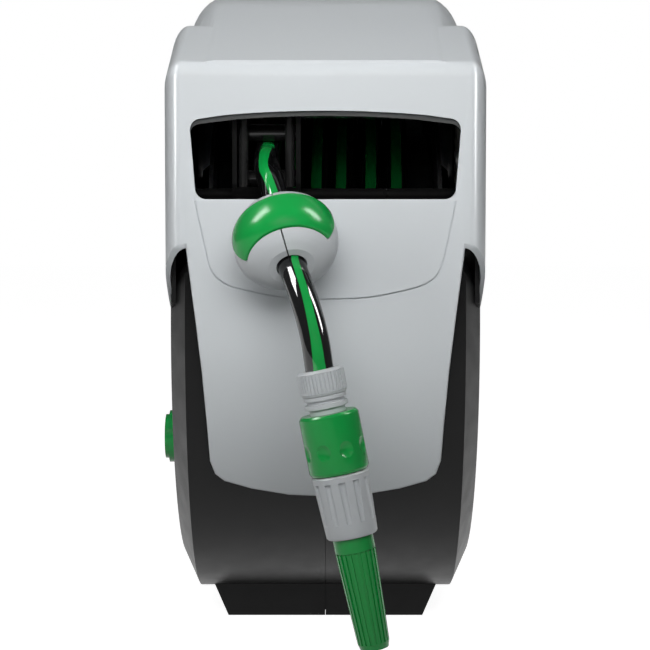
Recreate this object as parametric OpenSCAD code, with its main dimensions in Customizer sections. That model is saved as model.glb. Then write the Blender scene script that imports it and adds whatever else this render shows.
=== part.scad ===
// Retractable garden hose reel on a swivelling wall bracket.
// The origin is the middle of the wall plate's back face. Z is up, the wall is
// towards +Y and the hose leaves the front of the case, towards -Y. Millimetres.
// In the comments, forward means away from the wall, measured from the drum's axle.

/* [Case] */
// Radius of the round black shells, seen from the side
case_r = 198; // [195:1:202]
// Half width of the black shells over their side faces
shell_half_w = 101.8; // [100.8:0.2:102.8]
// Width of the slanted edge between rim and side face
edge_w = 11; // [9:0.5:13]
// Depth of that slanted edge
edge_depth = 24; // [20:1:27]
// Wall of the black shells
shell_wall = 3; // [2.6:0.1:3.2]
// Height of the foot below the round of the shells
foot_drop = 16; // [10:1:24]
// How far the bottom of the foot stands in from the side faces
foot_inset = 31; // [28:0.5:44]
// Front of the foot, forward of the axle
foot_front = 52; // [40:1:70]
// Rear of the foot, behind the axle
foot_back = 92; // [70:1:100]
// How far the long case screws stand in from the shells' rim
boss_inset = 12; // [11.5:0.5:14]

/* [Cover] */
// Wall of the grey cover
cover_wall = 2.7; // [2.2:0.1:2.9]
// How far the grey cover stands out over the shells' side faces
cover_proud = 1.8; // [1.4:0.1:2.2]
// How far the front of the cover stands before the shells
cover_front_gap = 14; // [12:0.5:16]
// Height of the raised top over the axle
top_h = 235; // [232:1:238]
// Drop from the raised top to the shoulders beside it
shoulder_drop = 28.5; // [26:0.5:30]
// Height of the brow's front edge over the axle
brow_z = 175.5; // [173:0.5:178]
// Rounding of the brow
brow_r = 12; // [8:1:16]
// How far the flat of the raised top stands in from the cover's sides
crown_inset = 33.6; // [32:0.2:37]
// Height of the black tips beside the front apron
tip_z = 62; // [58:1:66]
// Place of the lowest point of the cover's side sweep, forward of the axle
sweep_low_u = 90; // [86:1:95]
// Height of that lowest point over the axle
sweep_low_z = 5; // [2:1:10]
// Rise of the cover's side edge towards the rear
sweep_slope = 28; // [27.5:0.5:29]
// Lowest point of the front apron below the axle
apron_low = 105; // [98:1:110]
// How far the apron's bottom stands in from the cover's sides
apron_inset = 28.6; // [27:0.2:33]
// Height of the raised chin panel over the apron
chin_step = 1.2; // [0.6:0.1:2]

/* [Window] */
// How far the hose window stands in from the cover's sides
window_inset = 17.7; // [16.5:0.3:21]
// Bottom of the hose window over the axle
window_low = 90; // [88:0.5:91]
// Top corners of the hose window over the axle
window_high = 141; // [140:0.5:143]
// Rise of the window's top edge in the middle
window_rise = 5; // [3:0.5:6]
// Depth of the black lining of the window
lining_depth = 7; // [5:0.5:8]

/* [Handle] */
// How far the well's ends stand in from the flat of the raised top
well_inset = 8; // [7:0.5:14]
// Front edge of the well, forward of the axle
well_front = 34; // [30:1:36]
// Rear edge of the well, behind the axle
well_back = 60; // [54:1:62]
// Depth of the well under the raised top
well_depth = 39; // [35:1:40]
// Depth of the hand bar from front to rear
bar_depth = 26; // [22:1:28]
// How far the hand bar rises over the raised top
bar_rise = 6; // [4:0.5:8]

/* [Wall bracket] */
// Distance from the wall to the swivel rod
standoff = 125; // [122:1:140]
// Width of the wall plate
plate_w = 100; // [90:1:120]
// Height of the wall plate
plate_h = 260; // [250:1:300]
// Thickness of the wall plate
plate_t = 8; // [6:0.5:10]
// Distance between the screw holes across
hole_w = 70; // [60:1:76]
// Distance between the screw holes up and down
hole_h = 220; // [210:1:226]
// Radius of the wall screw holes
hole_r = 3.5; // [3:0.1:4.5]
// Radius of the swivel rod
rod_r = 6; // [5:0.5:7]
// Thickness of each bracket arm
arm_t = 12; // [10:0.5:14]
// Half height of the case's swivel column
column_half_h = 80; // [70:1:90]
// Gap between the swivel column and the case's back
rear_gap = 18; // [17:0.5:22]

/* [Drum] */
// Outer diameter of the hose
hose_d = 17; // [16:0.1:17.2]
// Radius of the drum's hub
hub_r = 75; // [73:0.5:76]
// Wall of the hub
hub_wall = 3; // [2.5:0.1:3.5]
// Room for the gears between each flange and the side face
side_room = 19.8; // [19.4:0.1:20.8]
// Room between the flanges and the shells' rim
rim_room = 33; // [30:1:36]
// Thickness of each flange
flange_t = 3; // [2:0.1:3.2]
// Radius of the fixed axle
axle_r = 10; // [9:0.5:11]
// Depth of the flanges' edge over the middle of the outer layer of hose
wound_depth = 17; // [16:0.5:18]
// Height of the spring ribbon
spring_ribbon_w = 38; // [30:1:40]
// Turns of the spring ribbon
spring_turns = 9; // [6:1:10]

/* [Gears] */
// Module of the gear train
gear_module = 3; // [2.98:0.01:3.02]
// Width of the gears
gear_w = 5; // [4:0.5:5]
// Radius of the pins that carry the idlers
gear_pin_r = 4; // [3:0.5:6]
// Teeth of the ratchet
ratchet_teeth = 12; // [12:4:16]

/* [Hose guide] */
// Sideways place of the hose guide at rest
guide_x = -38; // [-40:1:-36]
// Radius of the upright rollers
side_roller_r = 3.2; // [2.5:0.1:3.5]
// Half distance between the upright rollers' axes
side_roller_dx = 15; // [14:0.1:15.5]
// Radius of the level rollers
level_roller_r = 5.5; // [4.5:0.1:5.6]
// Radius of the rollers' journals
journal_r = 1.8; // [1.5:0.1:2]
// Radius of the crossed-thread shaft
traverse_r = 7; // [6:0.1:7.5]
// Radius of the lower guide rail
rail_r = 4; // [3:0.1:5]

/* [Hose end] */
// Greatest radius of the stop ball
ball_r = 32.5; // [31:0.5:33.5]
// Half length of the stop ball along the hose
ball_half_l = 24; // [23:0.5:25.5]
// Width of the band inlaid in the front of the ball
band_w = 24; // [21:0.5:26]
// Place of the band's middle, up along the hose from the middle of the ball
band_z = -3.5; // [-5:0.5:-2]
// Where the ends of the band stand, before the middle of the ball
band_end = 8; // [6:0.5:12]
// Radius of the hose nut
nut_r = 14.3; // [13.5:0.1:15]
// Length of the hose nut
nut_l = 15; // [14:0.5:16]
// Radius of the release collar
collar_r = 18; // [16.8:0.1:18.5]
// Length of the release collar
collar_l = 36; // [33:0.5:37]
// Travel of the release collar
collar_travel = 3; // [2:0.1:3.2]
// Radius of the nozzle grip at its top
grip_r = 17.2; // [16.4:0.1:18]
// Length of the nozzle grip
grip_l = 38; // [35:0.5:40]
// Radius of the nozzle barrel at its base
barrel_base_r = 12.2; // [11.5:0.1:12.6]
// Radius of the nozzle barrel at its tip
barrel_tip_r = 9.6; // [9:0.1:10.5]
// Length of the nozzle barrel
barrel_l = 74; // [64:1:78]

/* [Hidden] */
$fn = 64;

grey = [0.80, 0.82, 0.84];
black = [0.13, 0.13, 0.13];
green = [0.05, 0.55, 0.20];
steel = [0.66, 0.67, 0.69];

// Clearances: between fixed neighbours, and all round a running shaft
gap = 0.3;
run_fit = 0.06;

axle_y = -(standoff + rear_gap + case_r);
hose_r = hose_d / 2;
far = 400;

// Sizes that follow the case and the cover
boss_ring_r = case_r - boss_inset;
cover_half_w = shell_half_w + cover_proud;
crown_half_w = cover_half_w - crown_inset;
window_half_w = cover_half_w - window_inset;
apron_low_half_w = cover_half_w - apron_inset;
foot_half_w = shell_half_w - foot_inset;
well_half_l = crown_half_w - well_inset;
shoulder_h = top_h - shoulder_drop;
well_floor = top_h - well_depth;
bar_top = top_h + bar_rise;
front_u = case_r + cover_front_gap;
side_face_x = shell_half_w - shell_wall;
flange_x = side_face_x - side_room;
drum_half_w = flange_x - flange_t;
flange_r = case_r - rim_room;
wound_r = flange_r - wound_depth;

function unit(v) = v / norm(v);
function polar(c, r, a) = [c[0] + r * cos(a), c[1] + r * sin(a)];
function arc(c, r, a0, a1, n) = [for (i = [0:n]) polar(c, r, a0 + (a1 - a0) * i / n)];
function mirrored(p) = [for (i = [len(p) - 1:-1:1]) [-p[i][0], p[i][1]]];

// A flat outline (forward, up) drawn out between two places across the case
module across(x0, x1) {
    translate([x1, axle_y, 0]) rotate([90, 0, -90]) linear_extrude(x1 - x0) children();
}
// A flat outline (across, up) drawn out between two places forward of the axle
module ahead(u0, u1) {
    translate([0, axle_y - u0, 0]) rotate([90, 0, 0]) linear_extrude(u1 - u0) children();
}
// Round bars and rings along the case's width, at a place (forward, up)
module round_bar(r, x0, x1, at = [0, 0]) {
    translate([x0, axle_y - at[0], at[1]]) rotate([0, 90, 0]) cylinder(r = r, h = x1 - x0);
}
module about_axle() {
    translate([0, axle_y, 0]) rotate([0, 90, 0]) children();
}
module ring_bar(r_out, r_in, x0, x1, at = [0, 0]) {
    difference() {
        round_bar(r_out, x0, x1, at);
        round_bar(r_in, x0 - 1, x1 + 1, at);
    }
}

// A tube swept along a route: the rings are carried along without twist
function tangents(p) = [for (i = [0:len(p) - 1])
    unit(p[min(i + 1, len(p) - 1)] - p[max(i - 1, 0)])];
function sides_along(t, n0) = [for (i = 0, n = unit(n0 - (n0 * t[0]) * t[0]); i < len(t);
    i = i + 1, n = i < len(t) ? unit(n - (n * t[i]) * t[i]) : n) n];
module swept_tube(route, r, sides, n0, turn = 0) {
    t = tangents(route);
    n = sides_along(t, n0);
    last = len(route) - 1;
    points = [for (i = [0:last], j = [0:sides - 1])
        let (a = 360 * j / sides + turn)
        route[i] + r * (cos(a) * n[i] + sin(a) * cross(t[i], n[i]))];
    skin = [for (i = [0:last - 1], j = [0:sides - 1])
        let (k = (j + 1) % sides, a = i * sides, b = a + sides)
        each [[a + j, b + j, b + k], [a + j, b + k, a + k]]];
    start = [for (j = [1:sides - 2]) [0, j, j + 1]];
    end = [for (j = [1:sides - 2]) [last * sides, last * sides + j + 1, last * sides + j]];
    polyhedron(points, concat(skin, start, end));
}

// Involute teeth, from the root to the tip
function inv(r, rb) = r > rb ? sqrt(pow(r / rb, 2) - 1) * 180 / PI - acos(rb / r) : 0;
function tooth_half(n, r) = let (rp = n * gear_module / 2, rb = rp * cos(20))
    90 / n - 5 / rp + inv(rp, rb) - inv(max(r, rb), rb);
module gear_outline(n) {
    rp = n * gear_module / 2;
    levels = [rp - 1.2 * gear_module, rp - 0.5 * gear_module, rp, rp + 0.5 * gear_module,
        rp + 0.85 * gear_module];
    polygon([for (i = [0:n - 1]) each concat(
        [for (r = levels) polar([0, 0], r, 360 * i / n - tooth_half(n, r))],
        [for (k = [4:-1:0]) polar([0, 0], levels[k], 360 * i / n + tooth_half(n, levels[k]))])]);
}

// The outlines of the case

rim_half_w = shell_half_w - edge_w;
module drum_case(d) {
    slant = norm([edge_w, edge_depth]);
    rim = rim_half_w - d * (slant - edge_w) / edge_depth;
    face_r = case_r - edge_depth - d * (slant - edge_depth) / edge_w;
    face = shell_half_w - d;
    about_axle() rotate_extrude($fn = 128)
        polygon([[0, -face], [face_r, -face], [case_r - d, -rim], [case_r - d, rim],
            [face_r, face], [0, face]]);
}

// The roof's arcs meet the shells at the rear
rear_lift = 3.2;
rear_join = polar([0, 0], case_r + rear_lift, 142.7);
function roof_r(h, cu) = (pow(cu - rear_join[0], 2) + pow(h - rear_join[1], 2)) / (2 * (h - rear_join[1]));
crown_u = 20;
crown_r = roof_r(top_h, crown_u);
shoulder_r = roof_r(shoulder_h, crown_u);
// The brow runs straight down from the roof's arc to its front edge
brow_reach = [front_u - crown_u, brow_z - top_h + crown_r];
brow_slope = atan2(brow_reach[0], brow_reach[1]) - acos(crown_r / norm(brow_reach));
brow_dir = [sin(brow_slope), cos(brow_slope)];
brow_line = brow_dir * [crown_u, top_h - crown_r] + crown_r;
function line_z(u, d) = (brow_line - d - brow_dir[0] * u) / brow_dir[1];
function brow(d) = d < brow_r - 1
    ? let (cu = front_u - brow_r) arc([cu, line_z(cu, brow_r)], brow_r - d, 90 - brow_slope, 0, 5)
    : [[front_u - d, line_z(front_u - d, d)]];
base_z = -60;
// The raised top stands a step over the brow and ends just behind the front face
crown_step = 0.8;
function crown_profile(d) = let (front = front_u - 4 - d) concat(
    [[crown_u - (crown_r - d), base_z]],
    arc([crown_u, top_h - crown_r], crown_r + crown_step - d, 180, 90 - brow_slope, 20),
    [[front, line_z(front, d - crown_step)], [front, base_z]]);
blend_r = 30;
blend_u = (brow_line - blend_r - brow_dir[1] * (shoulder_h - blend_r)) / brow_dir[0];
function shoulder_profile(d) = concat(
    [[crown_u - (shoulder_r - d), base_z]],
    arc([crown_u, shoulder_h - shoulder_r], shoulder_r - d, 180, 90, 16),
    arc([blend_u, shoulder_h - blend_r], max(blend_r - d, 1), 90, 90 - brow_slope, 3),
    brow(d), [[front_u - d, base_z]]);

// Side steps of the cover's rounded edges: half width and inset at each
shoulder_steps = [[12, 0], [6.5, 3], [2.5, 9.5], [0, 24]];
crown_steps = [[0, 0], [8, 2], [15.5, 6.5], [21, 14], [24.5, 24], [26, 34]];
module cover_body(d) {
    hull() {
        for (s = shoulder_steps) across(-(cover_half_w - s[0] - d), cover_half_w - s[0] - d)
            polygon(shoulder_profile(s[1] + d));
    }
    hull() {
        for (s = crown_steps) across(-(crown_half_w + s[0] - d), crown_half_w + s[0] - d)
            polygon(crown_profile(s[1] + d));
    }
}

sweep_r = (pow(front_u - sweep_low_u, 2) + pow(tip_z - sweep_low_z, 2)) / (2 * (tip_z - sweep_low_z));
sweep_c = [sweep_low_u, sweep_low_z + sweep_r];
sweep_dir = [-sin(sweep_slope), -cos(sweep_slope)];
function sweep_z(u, d) = (sweep_c * sweep_dir + sweep_r - d - sweep_dir[0] * u) / sweep_dir[1];
function sweep_edge(d) = concat(
    [[-far, sweep_z(-far, d)]],
    arc(sweep_c, sweep_r - d, -90 - sweep_slope, -asin((sweep_c[1] - tip_z) / sweep_r), 24),
    [[far, tip_z + d]]);
// All that lies above the sweep, and all that lies below it
module cover_space(d) {
    across(-far, far) polygon(concat(sweep_edge(d), [[far, far], [-far, far]]));
}
module shell_space(d) {
    across(-far, far) polygon(concat(sweep_edge(d), [[far, -far], [-far, -far]]));
}

// Window, chin and apron outlines, (across, up)
window_corner = 7;
window_low_half_w = window_half_w - 3;
function window_outline(d) = let (
    w = window_half_w + d, lw = window_low_half_w + d, c = window_corner,
    half = concat(
        arc([lw - c, window_low - d + c], c, -90, 0, 6),
        arc([w - c, window_high + d - c], c, 0, 80, 6),
        [for (i = [4:-1:0]) [i * w / 6, window_high + d + window_rise * (1 - pow(i / 6, 2))]]))
    concat(half, [for (i = [len(half) - 2:-1:0]) [-half[i][0], half[i][1]]]);

// Chin and apron stand in from the window's and the cover's sides
chin_low = window_low - 63;
chin_half = let (w = window_low_half_w) [[0, chin_low], [w - 50, chin_low + 2], [w - 24, chin_low + 7.5],
    [w - 12, chin_low + 13], [w - 6, chin_low + 21], [w - 3, chin_low + 33], [w + 0.5, window_low - 1]];
function apron_half(d) = let (w = apron_low_half_w) [[0, -apron_low + d], [w - 51, -apron_low + 1.1 + d],
    [w - 26.5, -apron_low + 5.6 + d], [w - 9, -apron_low + 11 + d],
    [w - 3 - d * 0.7, -apron_low + 16 + d * 0.7],
    [w - d, -apron_low + 25], [w + 1.4 - d, tip_z - 117], [w + 4 - d, tip_z - 84],
    [w + 7.7 - d, tip_z - 52],
    [w + 11.4 - d, tip_z - 23], [w + 14.5 - d, tip_z + 2]];
module apron_body(d) {
    intersection() {
        union() {
            round_bar(front_u - d, -far / 2, far / 2, $fn = 160);
            across(-far / 2, far / 2)
                polygon([[0, 0], [front_u - d, 0], [front_u - d, far / 2], [0, far / 2]]);
        }
        ahead(case_r * 0.5, front_u + 5)
            polygon(concat(apron_half(d), mirrored(apron_half(d))));
    }
}

// Gear centres, (forward, up): the train climbs from the drum to the crossed-thread shaft
guide_hose_z = window_low + 28.5;
level_u = front_u - 40;
upright_u = front_u - 25;
traverse_at = [level_u - 12, guide_hose_z + 31.5];
rail_at = [level_u, guide_hose_z - 25.5];
drum_teeth = 20;
lower_teeth = 28;
pinion_teeth = 14;
function pitch_r(n) = n * gear_module / 2;
lower_dist = pitch_r(drum_teeth) + pitch_r(lower_teeth);
// The upper idler has as many teeth as it takes to reach the shaft
rest_l = norm(traverse_at) - lower_dist;
upper_teeth = ceil(rest_l / gear_module - (lower_teeth + pinion_teeth) / 2);
upper_dist = pitch_r(lower_teeth) + pitch_r(upper_teeth);
pinion_dist = pitch_r(upper_teeth) + pitch_r(pinion_teeth);
train_angle = atan2(traverse_at[1], traverse_at[0]);
lower_at = polar([0, 0], lower_dist, train_angle);
bend = acos((pow(upper_dist, 2) + pow(rest_l, 2) - pow(pinion_dist, 2)) / (2 * upper_dist * rest_l));
upper_at = polar(lower_at, upper_dist, train_angle + bend);
pinion_line = atan2(traverse_at[1] - upper_at[1], traverse_at[0] - upper_at[0]);
function meshed(line, turn1, n1, n2) = line + 180 + 180 / n2 + (line - turn1) * n1 / n2;
lower_turn = meshed(train_angle, 0, drum_teeth, lower_teeth);
upper_turn = meshed(train_angle + bend, lower_turn, lower_teeth, upper_teeth);
pinion_turn = meshed(pinion_line, upper_turn, upper_teeth, pinion_teeth);

// Places across the case: the gears run between the right flange and the ear
ear_t = 3;
ear_x = cover_half_w - cover_wall - gap - ear_t;
gear_x = ear_x - gap * 2 - gear_w;
carriage_half_w = side_roller_dx + 7;

// Black half shells
boss_angles = [158, 194, 228, 262, 292];
boss_r = 6;
screw_r = 2;
foot_top_half_w = foot_half_w + 24;
head_x = rim_half_w - 1;
ear_profile_inset = 30;
foot_z = -case_r - foot_drop;
// The round case and its foot, taken in by d, and one half of the width
module case_room(d) {
    drum_case(d);
    ahead(-foot_back + d, foot_front - d)
        polygon([[-foot_top_half_w + d, -case_r * 0.8], [foot_top_half_w - d, -case_r * 0.8],
            [foot_half_w - d, foot_z + d], [-foot_half_w + d, foot_z + d]]);
}
module across_space(x0, x1) {
    translate([x0, -2 * far, -far]) cube([x1 - x0, 3 * far, 2 * far]);
}
module shell_half() {
    difference() {
        union() {
            difference() {
                union() {
                    difference() {
                        case_room(0);
                        cover_space(-gap);
                    }
                    difference() {
                        drum_case(2);
                        cover_space(8);
                    }
                }
                case_room(shell_wall);
                across_space(-far, gap / 2);
            }
            difference() {
                drum_case(2);
                drum_case(4.4);
                cover_space(8);
                shell_space(-6);
                across_space(-far, gap / 2);
            }
            intersection() {
                across(ear_x, ear_x + ear_t) polygon(shoulder_profile(ear_profile_inset));
                cover_space(-10);
                across(ear_x - 1, far / 2)
                    polygon([[-40, -40], [far / 2, -40], [far / 2, far / 2], [-40, far / 2]]);
            }
            for (a = boss_angles) round_bar(boss_r, gap / 2, head_x + 3.5, polar([0, 0], boss_ring_r, a));
            round_bar(axle_r + 9, gear_x + gear_w + gap, side_face_x + 1);
        }
        round_bar(axle_r + run_fit, side_face_x - 10, far / 2);
        for (a = saddle_angles) saddle_screw_hole(a);
    }
}
saddle_half_w = shell_half_w - 29.5;
saddle_screw_x = [saddle_half_w - 40, saddle_half_w - 10];
saddle_screw_z = column_half_h + 12.9554;
saddle_angles = let (a = asin(saddle_screw_z / case_r)) [-a, a];
module saddle_screw_hole(a) {
    for (x = saddle_screw_x) translate([x, axle_y, 0]) rotate([a, 0, 0])
        translate([0, case_r - shell_wall - 20, 0]) rotate([-90, 0, 0]) cylinder(r = screw_r + 0.2, h = 60);
}
// A tongue behind the parting line keeps light and dirt out of the case
tongue_t = 1.8;
module tongue() {
    difference() {
        intersection() {
            case_room(shell_wall + gap);
            across_space(-4, 4);
        }
        case_room(shell_wall + gap + tongue_t);
        cover_space(-8);
    }
    difference() {
        intersection() {
            case_room(shell_wall - 0.2);
            across_space(1, 4);
        }
        case_room(shell_wall + gap + tongue_t);
        cover_space(-8);
    }
}
module right_shell() {
    color(black) difference() {
        union() {
            shell_half();
            tongue();
        }
        for (a = boss_angles) {
            at = polar([0, 0], boss_ring_r, a);
            round_bar(screw_r + 0.2, -1, far / 2, at);
            round_bar(4.5, head_x, far / 2, at);
        }
        round_bar(traverse_r - 2 + run_fit, ear_x - 1, far / 2, traverse_at);
        round_bar(rail_r + run_fit, ear_x - 1, far / 2, rail_at);
        round_bar(gear_pin_r - 1 + run_fit, ear_x - 1, far / 2, lower_at);
        round_bar(gear_pin_r - 1 + run_fit, ear_x - 1, far / 2, upper_at);
    }
}
inlet_at = [0, -89];
socket_r = 21.5;
pawl_at = [-60, -30];
module left_shell() {
    color(black) difference() {
        union() {
            mirror([1, 0, 0]) shell_half();
            round_bar(3, -side_face_x - 0.5, pawl_x + 1.5,
                [on_pawl(-tail_l, 0)[0], spring_top - spring_h - 3.2]);
        }
        for (a = boss_angles) round_bar(screw_r + 0.2, -70, 1, polar([0, 0], boss_ring_r, a));
        round_bar(traverse_r - 2 + run_fit, -far / 2, -ear_x + 1, traverse_at);
        round_bar(rail_r + run_fit, -far / 2, -ear_x + 1, rail_at);
        round_bar(14 + gap, -far / 2, -60, inlet_at);
        round_bar(gear_pin_r + run_fit, -far / 2, -side_face_x + 1, pawl_at);
    }
}

// Grey cover, its window lining and the handle
floor_t = 2.5;
floor_half = concat([[0, -case_r * 0.9], [cover_half_w - cover_wall / 2, -case_r * 0.9]],
    [for (i = [3:-1:0]) [cover_half_w - cover_wall / 2 - shoulder_steps[i][0],
        -front_u + shoulder_steps[i][1] + cover_wall / 2]],
    [[0, -front_u + cover_wall / 2]]);
function mirrored_y(p) = [for (i = [len(p) - 2:-1:1]) [-p[i][0], p[i][1]]];
module top_cover() {
    well_w = well_half_l + gap;
    color(grey) difference() {
        union() {
            difference() {
                intersection() {
                    cover_body(0);
                    cover_space(0);
                }
                cover_body(cover_wall);
            }
            difference() {
                translate([0, axle_y, tip_z]) linear_extrude(floor_t)
                    polygon(concat(floor_half, mirrored_y(floor_half)));
                round_bar(case_r + gap, -far / 2, far / 2, $fn = 160);
            }
            difference() {
                apron_body(0);
                apron_body(cover_wall);
                round_bar(case_r + gap, -far / 2, far / 2, $fn = 160);
            }
            ahead(front_u - 1, front_u + chin_step) polygon(concat(chin_half, mirrored(chin_half)));
        }
        ahead(front_u - 30, front_u + 20) polygon(window_outline(0));
        across(-well_w, well_w) polygon([[-well_back - gap, well_floor], [well_front + gap, well_floor],
            [well_front + gap, far], [-well_back - gap, far]]);
        for (side = [-1, 1]) round_bar(screw_r + 0.2, side * 100 - 20, side * 100 + 20, cover_screw_at);
    }
}
cover_screw_at = [60, 100];

// The lining hangs down a little behind the window's top edge
lining_lip = 3.7;
module window_lining() {
    color([0.22, 0.23, 0.23]) intersection() {
        difference() {
            ahead(front_u - cover_wall - lining_depth, front_u - cover_wall - gap)
                polygon(window_outline(5));
            ahead(front_u - 40, front_u + 20) intersection() {
                polygon(window_outline(0.5));
                translate([0, -lining_lip]) polygon(window_outline(0.5));
            }
        }
        cover_body(cover_wall + gap);
    }
}
tray_wall = 2;
module handle_tray() {
    w = well_half_l;
    t = tray_wall;
    color(black) intersection() {
        difference() {
            across(-w, w) polygon([[-well_back, well_floor - 4], [well_front, well_floor - 4],
                [well_front, far],
                [-well_back, far]]);
            across(-w + t, w - t) polygon([[-well_back + t, well_floor], [well_front - t, well_floor],
                [well_front - t, far], [-well_back + t, far]]);
        }
        cover_body(0.4);
    }
}
bar_u = (well_front - well_back) / 2;
module handle_bar() {
    w = well_half_l - tray_wall - gap;
    h = 24;
    c = 6;
    color([0.18, 0.18, 0.18]) across(-w, w) polygon(concat(
        arc([bar_u + bar_depth / 2 - c, bar_top - c], c, 0, 90, 6),
        arc([bar_u - bar_depth / 2 + c, bar_top - c], c, 90, 180, 6),
        arc([bar_u - bar_depth / 2 + c, bar_top - h + c], c, 180, 270, 6),
        arc([bar_u + bar_depth / 2 - c, bar_top - h + c], c, 270, 360, 6)));
}

// Wall bracket, rod and the column on the case's back
arm_z = column_half_h + gap;
column_r = rod_r + 8;
module wall_bracket() {
    color(steel) difference() {
        union() {
            translate([-plate_w / 2, -plate_t, -plate_h / 2]) cube([plate_w, plate_t, plate_h]);
            for (side = [-1, 1]) over_or_under(side) {
                translate([0, -standoff, arm_z]) cylinder(r = column_r + 2, h = arm_t);
                translate([-column_r - 2, -standoff, arm_z])
                    cube([2 * column_r + 4, standoff - plate_t / 2, arm_t]);
                translate([-4, 0, 0]) rotate([90, 0, 90]) linear_extrude(8)
                    polygon([[-plate_t / 2, arm_z + arm_t - 1],
                        [-standoff + column_r + 8, arm_z + arm_t - 1],
                        [-plate_t / 2, plate_h / 2 - 2]]);
            }
        }
        for (x = [-1, 1], z = [-1, 1]) translate([x * hole_w / 2, 5, z * hole_h / 2])
            rotate([90, 0, 0]) cylinder(r = hole_r, h = plate_t + 10);
        translate([0, -standoff, -far / 2]) cylinder(r = rod_r + run_fit / 2, h = far);
    }
}
module over_or_under(side) {
    mirror([0, 0, side < 0 ? 1 : 0]) children();
}
rod_end = arm_z + arm_t;
module swivel_rod() {
    color(steel) difference() {
        translate([0, -standoff, 0]) union() {
            translate([0, 0, -rod_end - 9]) cylinder(r = rod_r, h = 2 * rod_end + 10);
            translate([0, 0, rod_end + gap]) cylinder(r = rod_r + 4, h = 5);
        }
        translate([0, -standoff, -rod_end - 5]) difference() {
            cylinder(r = rod_r + 1, h = 2);
            translate([0, 0, -1]) cylinder(r = rod_r - 1.5, h = 4);
        }
    }
}
module rod_clip() {
    color([0.3, 0.3, 0.31]) translate([0, -standoff, -rod_end - 4.8]) difference() {
        cylinder(r = rod_r + 4, h = 1.6);
        translate([0, 0, -1]) cylinder(r = rod_r - 1.4, h = 4);
        translate([-3, 0, -1]) cube([6, rod_r + 6, 4]);
    }
}
saddle_t = 5;
module swivel_column() {
    color(black) difference() {
        union() {
            translate([0, -standoff, -column_half_h]) cylinder(r = column_r, h = 2 * column_half_h);
            intersection() {
                difference() {
                    round_bar(case_r + gap + saddle_t, -saddle_half_w, saddle_half_w, $fn = 160);
                    round_bar(case_r + gap, -far, far, $fn = 160);
                }
                translate([-far, axle_y, -column_half_h - 25]) cube([2 * far, far, 2 * column_half_h + 50]);
            }
            difference() {
                union() for (x = [-8, 0, 8]) translate([x - 2, -standoff - 50, -column_half_h])
                    cube([4, 50, 2 * column_half_h]);
                round_bar(case_r + gap + 1, -far, far, $fn = 160);
            }
        }
        translate([0, -standoff, -far / 2]) cylinder(r = rod_r + run_fit, h = far);
        for (a = saddle_angles) {
            saddle_screw_hole(a);
            mirror([1, 0, 0]) saddle_screw_hole(a);
        }
    }
}
module column_screws() {
    head_at = case_r + gap + saddle_t + gap;
    color(steel) for (a = saddle_angles, x = saddle_screw_x, side = [-1, 1])
        translate([side * x, axle_y, 0]) rotate([a, 0, 0]) rotate([-90, 0, 0]) {
            translate([0, 0, case_r - shell_wall - 8]) cylinder(r = screw_r, h = 19);
            translate([0, 0, head_at]) cylinder(r = 4, h = 2.6);
        }
}
module case_screws() {
    color(steel) {
        for (a = boss_angles) {
            at = polar([0, 0], boss_ring_r, a);
            round_bar(screw_r, -60, head_x + 0.2, at);
            round_bar(4, head_x + 0.1, head_x + 2.4, at);
        }
        for (side = [-1, 1]) mirror([side < 0 ? 1 : 0, 0, 0]) {
            round_bar(screw_r, ear_x + ear_t + gap, cover_half_w + 1, cover_screw_at);
            round_bar(4, cover_half_w + 0.2, cover_half_w + 2.2, cover_screw_at);
        }
    }
}

// Fixed parts inside the case; the water passes through the axle to the barb
feed_x = 6.5 - side_face_x;
barb_x = drum_half_w - 34;
module axle() {
    color(steel) difference() {
        round_bar(axle_r, -shell_half_w - 4, shell_half_w + 4);
        round_bar(axle_r - 4.5, -shell_half_w - 10, barb_x + 4);
        translate([barb_x, axle_y, 0]) cylinder(r = 3, h = 3 * axle_r);
        translate([feed_x, axle_y, -2 * axle_r]) cylinder(r = 3, h = 2 * axle_r);
        for (side = [-1, 1]) mirror([side < 0 ? 1 : 0, 0, 0])
            ring_bar(axle_r + 1, axle_r - 1.5, shell_half_w + 1, shell_half_w + 2.2);
    }
}
module axle_clips() {
    color([0.3, 0.3, 0.31]) for (side = [-1, 1]) mirror([side < 0 ? 1 : 0, 0, 0])
        difference() {
            ring_bar(axle_r + 4, axle_r - 1.4, shell_half_w + 1.1, shell_half_w + 2.1);
            translate([shell_half_w, axle_y - 4, 0]) cube([4, 8, axle_r + 8]);
        }
}
module guide_rail() {
    color(steel) round_bar(rail_r, -ear_x - ear_t + 0.2, ear_x + ear_t - 0.2, rail_at);
}
module gear_pins() {
    color(steel) for (at = [lower_at, upper_at]) {
        round_bar(gear_pin_r, gear_x - 2, ear_x - gap / 2, at);
        round_bar(gear_pin_r - 1, gear_x - 2, ear_x + ear_t - 0.2, at);
        round_bar(gear_pin_r + 2, gear_x - 2 - gap, gear_x - gap, at);
    }
}
pawl_x = -flange_x - gear_w;
pawl_span = [pawl_x + gap, pawl_x + gap + 2.6];
pawl_angle = 82;
pawl_l = 36;
tail_l = 14;
function on_pawl(l, w) = pawl_at
    + [l * cos(pawl_angle) - w * sin(pawl_angle), l * sin(pawl_angle) + w * cos(pawl_angle)];
module pawl_pin() {
    color(steel) round_bar(gear_pin_r, -shell_half_w + 0.5, pawl_span[1], pawl_at);
}
spring_top = pawl_at[1] - tail_l - 0.8;
spring_h = 12;
module pawl_spring() {
    color(steel) translate([pawl_x - 1, axle_y - on_pawl(-tail_l, 0)[0], spring_top - spring_h])
        difference() {
            cylinder(r = 3, h = spring_h);
            translate([0, 0, -1]) cylinder(r = 2, h = spring_h + 2);
        }
}
socket_out = 3;
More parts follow.
